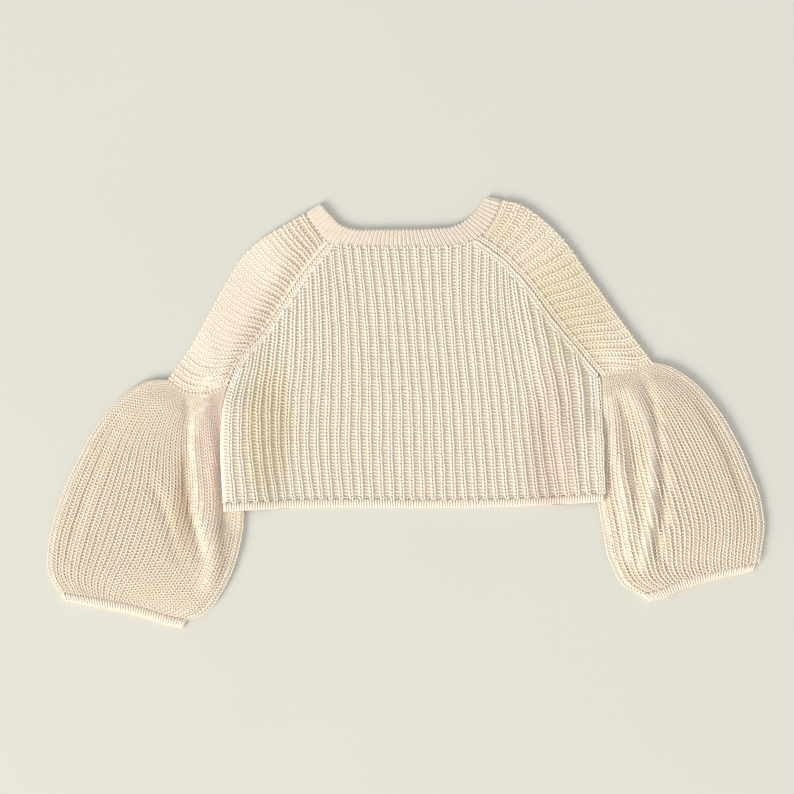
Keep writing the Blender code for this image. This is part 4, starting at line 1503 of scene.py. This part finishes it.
class SWEATER_OT_upper_sleeves(bpy.types.Operator):
    """Both raglan upper sleeves, their ribs running across the arm"""

    bl_idname = "sweater.upper_sleeves"
    bl_label = "Upper sleeves"

    def execute(self, context):
        knit, purl, _, loose = loops()
        for side, stitch, slant in (("left", loose, -1), ("right", knit, 1)):
            name = "sleeve_upper_" + side
            sleeve = UpperSleeve(side)
            cloth = sleeve.cloth(name + "_cloth")
            seams = Guides()
            line = smooth_curve(RAGLANS[side])[RAGLAN_BARS]
            seam_bars(seams, with_height(line, body_rise(line) + VALLEY_TOP), slant)
            line = smooth_curve(SLEEVES[side]["elbow"])[ELBOW_BARS]
            lift = np.maximum(0, fold_height(side, line))
            seam_bars(seams, with_height(line, lift + VALLEY_TOP), 0.0)
            crests = sleeve.guides(np.arange(-0.5, UPPER_SLEEVE_RIBS), 1.0)
            valleys = sleeve.guides(np.arange(-1.0, UPPER_SLEEVE_RIBS), BAR_SEAT)
            if side == "right":
                sleeve.add_border_wale(crests)
            rows = [(crests, stitch, pitch()), (valleys, purl, pitch()), (seams, purl, SEAM_STEP)]
            stitches = knitted(name + "_stitches", rows, yarn("sleeve"), 31)
            declare(cloth, name,
                    [stitches])
        return {"FINISHED"}


# Bands


def link_guide(tube):
    """A guide along the middle of a band, for strands that lie across it."""
    margin = LINK_MARGIN / tube.width(0.5)
    u = np.linspace(margin, 1 - margin, LINK_SAMPLES)
    z = np.array([tube.top(np.array([a]), LINK_ROW, 0.0)[0] for a in u])
    points = with_height(tube.plan(u, LINK_ROW), z)
    down = with_height(tube.plan(u, 0.0) - tube.plan(u, 1.0), 0.0)
    down /= np.linalg.norm(down, axis=1, keepdims=True)
    up = np.cross(np.gradient(points, axis=0), down)
    up *= np.sign(up[:, 2:]) / np.linalg.norm(up, axis=1, keepdims=True)
    guides = Guides()
    guides.add(points, up, down, 1.0, 1.0)
    return guides


class SWEATER_OT_bands(bpy.types.Operator):
    """Hem band and both cuff bands, narrow linked rings"""

    bl_idname = "sweater.bands"
    bl_label = "Hem and cuffs"

    def execute(self, context):
        hem = Tube(ruled(HEM_LINE + (0, HEM_DEPTH), HEM_LINE), 0, 0,
                   lambda points, u, v: (body_rise(points), 1.0), BAND_CROWN, hollow=0)
        self.band("hem_band", hem, HEM_SPANS, (1.06, 0.012), "laid")
        for side, shape in SLEEVES.items():
            plan = ruled(smooth_curve(shape["cuff_top"]), smooth_curve(shape["cuff_end"]))
            sleeve = balloon_rise(side, balloon_plan(side))

            def rise(points, u, v, plan=plan, sleeve=sleeve):
                lift, clear = sleeve(plan(u, 0), u, 1.0)
                return lift * (1 - CUFF_DROP * v), clear

            cuff = Tube(plan, 0, 0, rise, BAND_CROWN)
            self.band("cuff_" + side, cuff, CUFF_SPANS, (0.36, 0.014), "gathered")
        return {"FINISHED"}

    def band(self, node, tube, spans, flat, held):
        """One ring with its links, parented to the root."""
        cloth = tube.shell(node + "_cloth", BAND_ROWS, spans, BAND_PLAIN_SPANS, yarn("band"))
        step = bpy.context.scene.sweater_knit.link_pitch / MM
        rows = [(link_guide(tube), loops()[2], step)]
        stitches = knitted(node + "_links", rows, yarn("band"), 41)
        declare(cloth, node, [stitches])


class SWEATER_OT_neckband(bpy.types.Operator):
    """Neckband in narrow one-by-one rib"""

    bl_idname = "sweater.neckband"
    bl_label = "Neckband"

    def execute(self, context):
        tube = CurvedTube(ruled(smooth_curve(BAND_SEAM), smooth_curve(BAND_EDGE)), NECKBAND_RIBS,
                          NECKBAND_RELIEF, lambda points, u, v: (np.zeros(len(u)), 1.0),
                          dip=NECKBAND_DIP, dark=NECKBAND_DARK)
        spans = NECKBAND_RIB_SAMPLES * NECKBAND_RIBS
        cloth = tube.shell("neckband_cloth", NECKBAND_ROWS, spans, NECKBAND_PLAIN_SPANS,
                           yarn("band"))
        rows = np.linspace(*NECKBAND_GUIDE)
        lines, across = tube.lines(np.arange(0.5, NECKBAND_RIBS), rows, 1.0)
        made = [(wales(lines, across, scale=NECKBAND_SIZE), loops()[0], NECKBAND_PITCH)]
        stitches = knitted("neckband_stitches", made, yarn("band"), 51)
        declare(cloth, "neckband",
                [stitches])
        return {"FINISHED"}


# Stage


FLOOR_HALF = 4.0
KEY_PLACE = (-11.6, -10.6, 8.6)
KEY_COLOUR = (1.0, 0.97, 0.91)
FILL_COLOUR = (0.93, 0.96, 1.0, 1)
EYE_PLACE = (-0.01195, 0.0215)
LENS = 85
SENSOR = 36


def paper_material(colour):
    """Smooth pale board with a faint mottle."""
    material, tree, shader = new_material("pale_floor")
    add = node_maker(tree)
    place = add("ShaderNodeTexCoord").outputs["Object"]
    noise = add("ShaderNodeTexNoise", {"Vector": place, "Scale": 3.0}).outputs["Fac"]
    tones = {0: noise, 6: (*colour, 1), 7: (*(c * 0.97 for c in colour), 1)}
    mix = add("ShaderNodeMix", tones, data_type="RGBA").outputs[2]
    feed(tree, shader, {"Base Color": mix, "Roughness": 0.75, "Specular IOR Level": 0.15})
    return material


class SWEATER_OT_stage(bpy.types.Operator):
    """Pale floor, soft studio light and the camera straight above"""

    bl_idname = "sweater.stage"
    bl_label = "Stage"

    def execute(self, context):
        settings = context.scene.sweater_stage
        mesh = bpy.data.meshes.new("floor")
        corners = np.array([(-1, -1, 0), (1, -1, 0), (1, 1, 0), (-1, 1, 0)]) * FLOOR_HALF
        mesh.from_pydata(corners.tolist(), [], [(0, 1, 2, 3)])
        mesh.materials.append(paper_material(tuple(settings.floor)))
        add_object("floor", mesh)

        key = bpy.data.lights.new("key", "AREA")
        key.shape = "DISK"
        key.size = settings.key_size
        key.energy = settings.key_power
        key.color = KEY_COLOUR
        lamp = add_object("key", key)
        lamp.location = KEY_PLACE
        x, y, z = lamp.location
        lamp.rotation_euler = (np.arctan2(np.hypot(x, y), z), 0, np.arctan2(x, -y))

        world = bpy.data.worlds.new("studio")
        world.use_nodes = True
        sky = {"Color": FILL_COLOUR, "Strength": settings.fill}
        feed(world.node_tree, world.node_tree.nodes["Background"], sky)
        context.scene.world = world
        context.scene.view_settings.view_transform = "Standard"

        camera = bpy.data.cameras.new("camera")
        camera.lens = LENS
        camera.sensor_width = SENSOR
        eye = add_object("camera", camera)
        eye.location = (*EYE_PLACE, settings.camera_height)
        context.scene.camera = eye
        return {"FINISHED"}


# Settings


def colour_setting(name, description, default):
    """A colour in the panel."""
    return FloatVectorProperty(
        name=name, description=description, subtype="COLOR", size=3, min=0, max=1, default=default
    )


def length_setting(name, description, default, least):
    """A length in the panel."""
    return FloatProperty(
        name=name, description=description, default=default, min=least, unit="LENGTH"
    )


class SweaterYarn(bpy.types.PropertyGroup):
    body: colour_setting("Body yarn", "Colour of the front and the back", (0.91, 0.838, 0.732))
    sleeve: colour_setting("Sleeve yarn", "Colour of the sleeves", (0.895, 0.798, 0.662))
    band: colour_setting(
        "Band yarn", "Colour of the neckband, hem and cuffs", (0.925, 0.83, 0.715)
    )
    # Painted shade: the factor on the yarn's colour where the cloth's shade attribute is 1
    shade_colour: colour_setting(
        "Shaded yarn", "Colour factor deep between the ribs", (0.76, 0.71, 0.615)
    )
    fibre_scale: FloatProperty(
        name="Fibre scale", description="Fibres per metre in the fuzz", default=1400, min=100
    )


class SweaterKnit(bpy.types.PropertyGroup):
    stitch_pitch: length_setting("Stitch pitch", "Length of one stitch along a rib", 0.0046, 0.002)
    yarn_radius: length_setting("Yarn radius", "Radius of a knit stitch's legs", 0.0012, 0.0003)
    purl_radius: length_setting(
        "Purl radius", "Radius of the bars between the ribs", 0.00095, 0.0003
    )
    link_radius: length_setting(
        "Link radius", "Radius of the strands across a band", 0.0012, 0.0003
    )
    link_pitch: length_setting("Link pitch", "Spacing of the strands across a band", 0.0036, 0.001)
    rib_height: length_setting("Rib height", "Crest of a rib above its valley", 0.0019, 0.0005)
    unevenness: FloatProperty(
        name="Unevenness", description="How much the stitches vary in size",
        default=0.07, min=0, max=0.5, subtype="FACTOR"
    )


class SweaterStage(bpy.types.PropertyGroup):
    floor: colour_setting("Floor", "Colour of the board under the sweater", (0.615, 0.597, 0.53))
    key_power: FloatProperty(
        name="Key power", description="Power of the key light", default=3500, min=0, unit="POWER"
    )
    key_size: length_setting("Key size", "Diameter of the key light", 9.0, 0.05)
    fill: FloatProperty(
        name="Fill", description="Strength of the light from all round", default=0.84, min=0
    )
    camera_height: length_setting(
        "Camera height", "Height of the camera above the floor", 2.6, 0.5
    )


class SWEATER_PT_panel(bpy.types.Panel):
    bl_label = "Ribbed sweater"
    bl_idname = "SWEATER_PT_panel"
    bl_space_type = "VIEW_3D"
    bl_region_type = "UI"
    bl_category = "Knitwear"

    def draw(self, context):
        layout = self.layout
        scene = context.scene
        for group in (scene.sweater_yarn, scene.sweater_knit, scene.sweater_stage):
            for name in group.__annotations__:
                layout.prop(group, name)
        for operator in OPERATORS:
            layout.operator(operator.bl_idname)


OPERATORS = (
    SWEATER_OT_stage,
    SWEATER_OT_back,
    SWEATER_OT_front,
    SWEATER_OT_balloons,
    SWEATER_OT_upper_sleeves,
    SWEATER_OT_bands,
    SWEATER_OT_neckband,
)
CLASSES = (SweaterYarn, SweaterKnit, SweaterStage, SWEATER_PT_panel, *OPERATORS)


def register():
    for cls in CLASSES:
        bpy.utils.register_class(cls)
    bpy.types.Scene.sweater_yarn = PointerProperty(type=SweaterYarn)
    bpy.types.Scene.sweater_knit = PointerProperty(type=SweaterKnit)
    bpy.types.Scene.sweater_stage = PointerProperty(type=SweaterStage)


def unregister():
    for name in ("sweater_yarn", "sweater_knit", "sweater_stage"):
        delattr(bpy.types.Scene, name)
    for cls in reversed(CLASSES):
        bpy.utils.unregister_class(cls)


def main():
    register()
    bpy.ops.sweater.stage()
    bpy.ops.sweater.back()
    bpy.ops.sweater.front()
    bpy.ops.sweater.balloons()
    bpy.ops.sweater.upper_sleeves()
    bpy.ops.sweater.bands()
    bpy.ops.sweater.neckband()
    for name in STITCH_NAMES:
        bpy.data.objects.remove(bpy.data.objects[name])


if __name__ == "__main__":
    main()
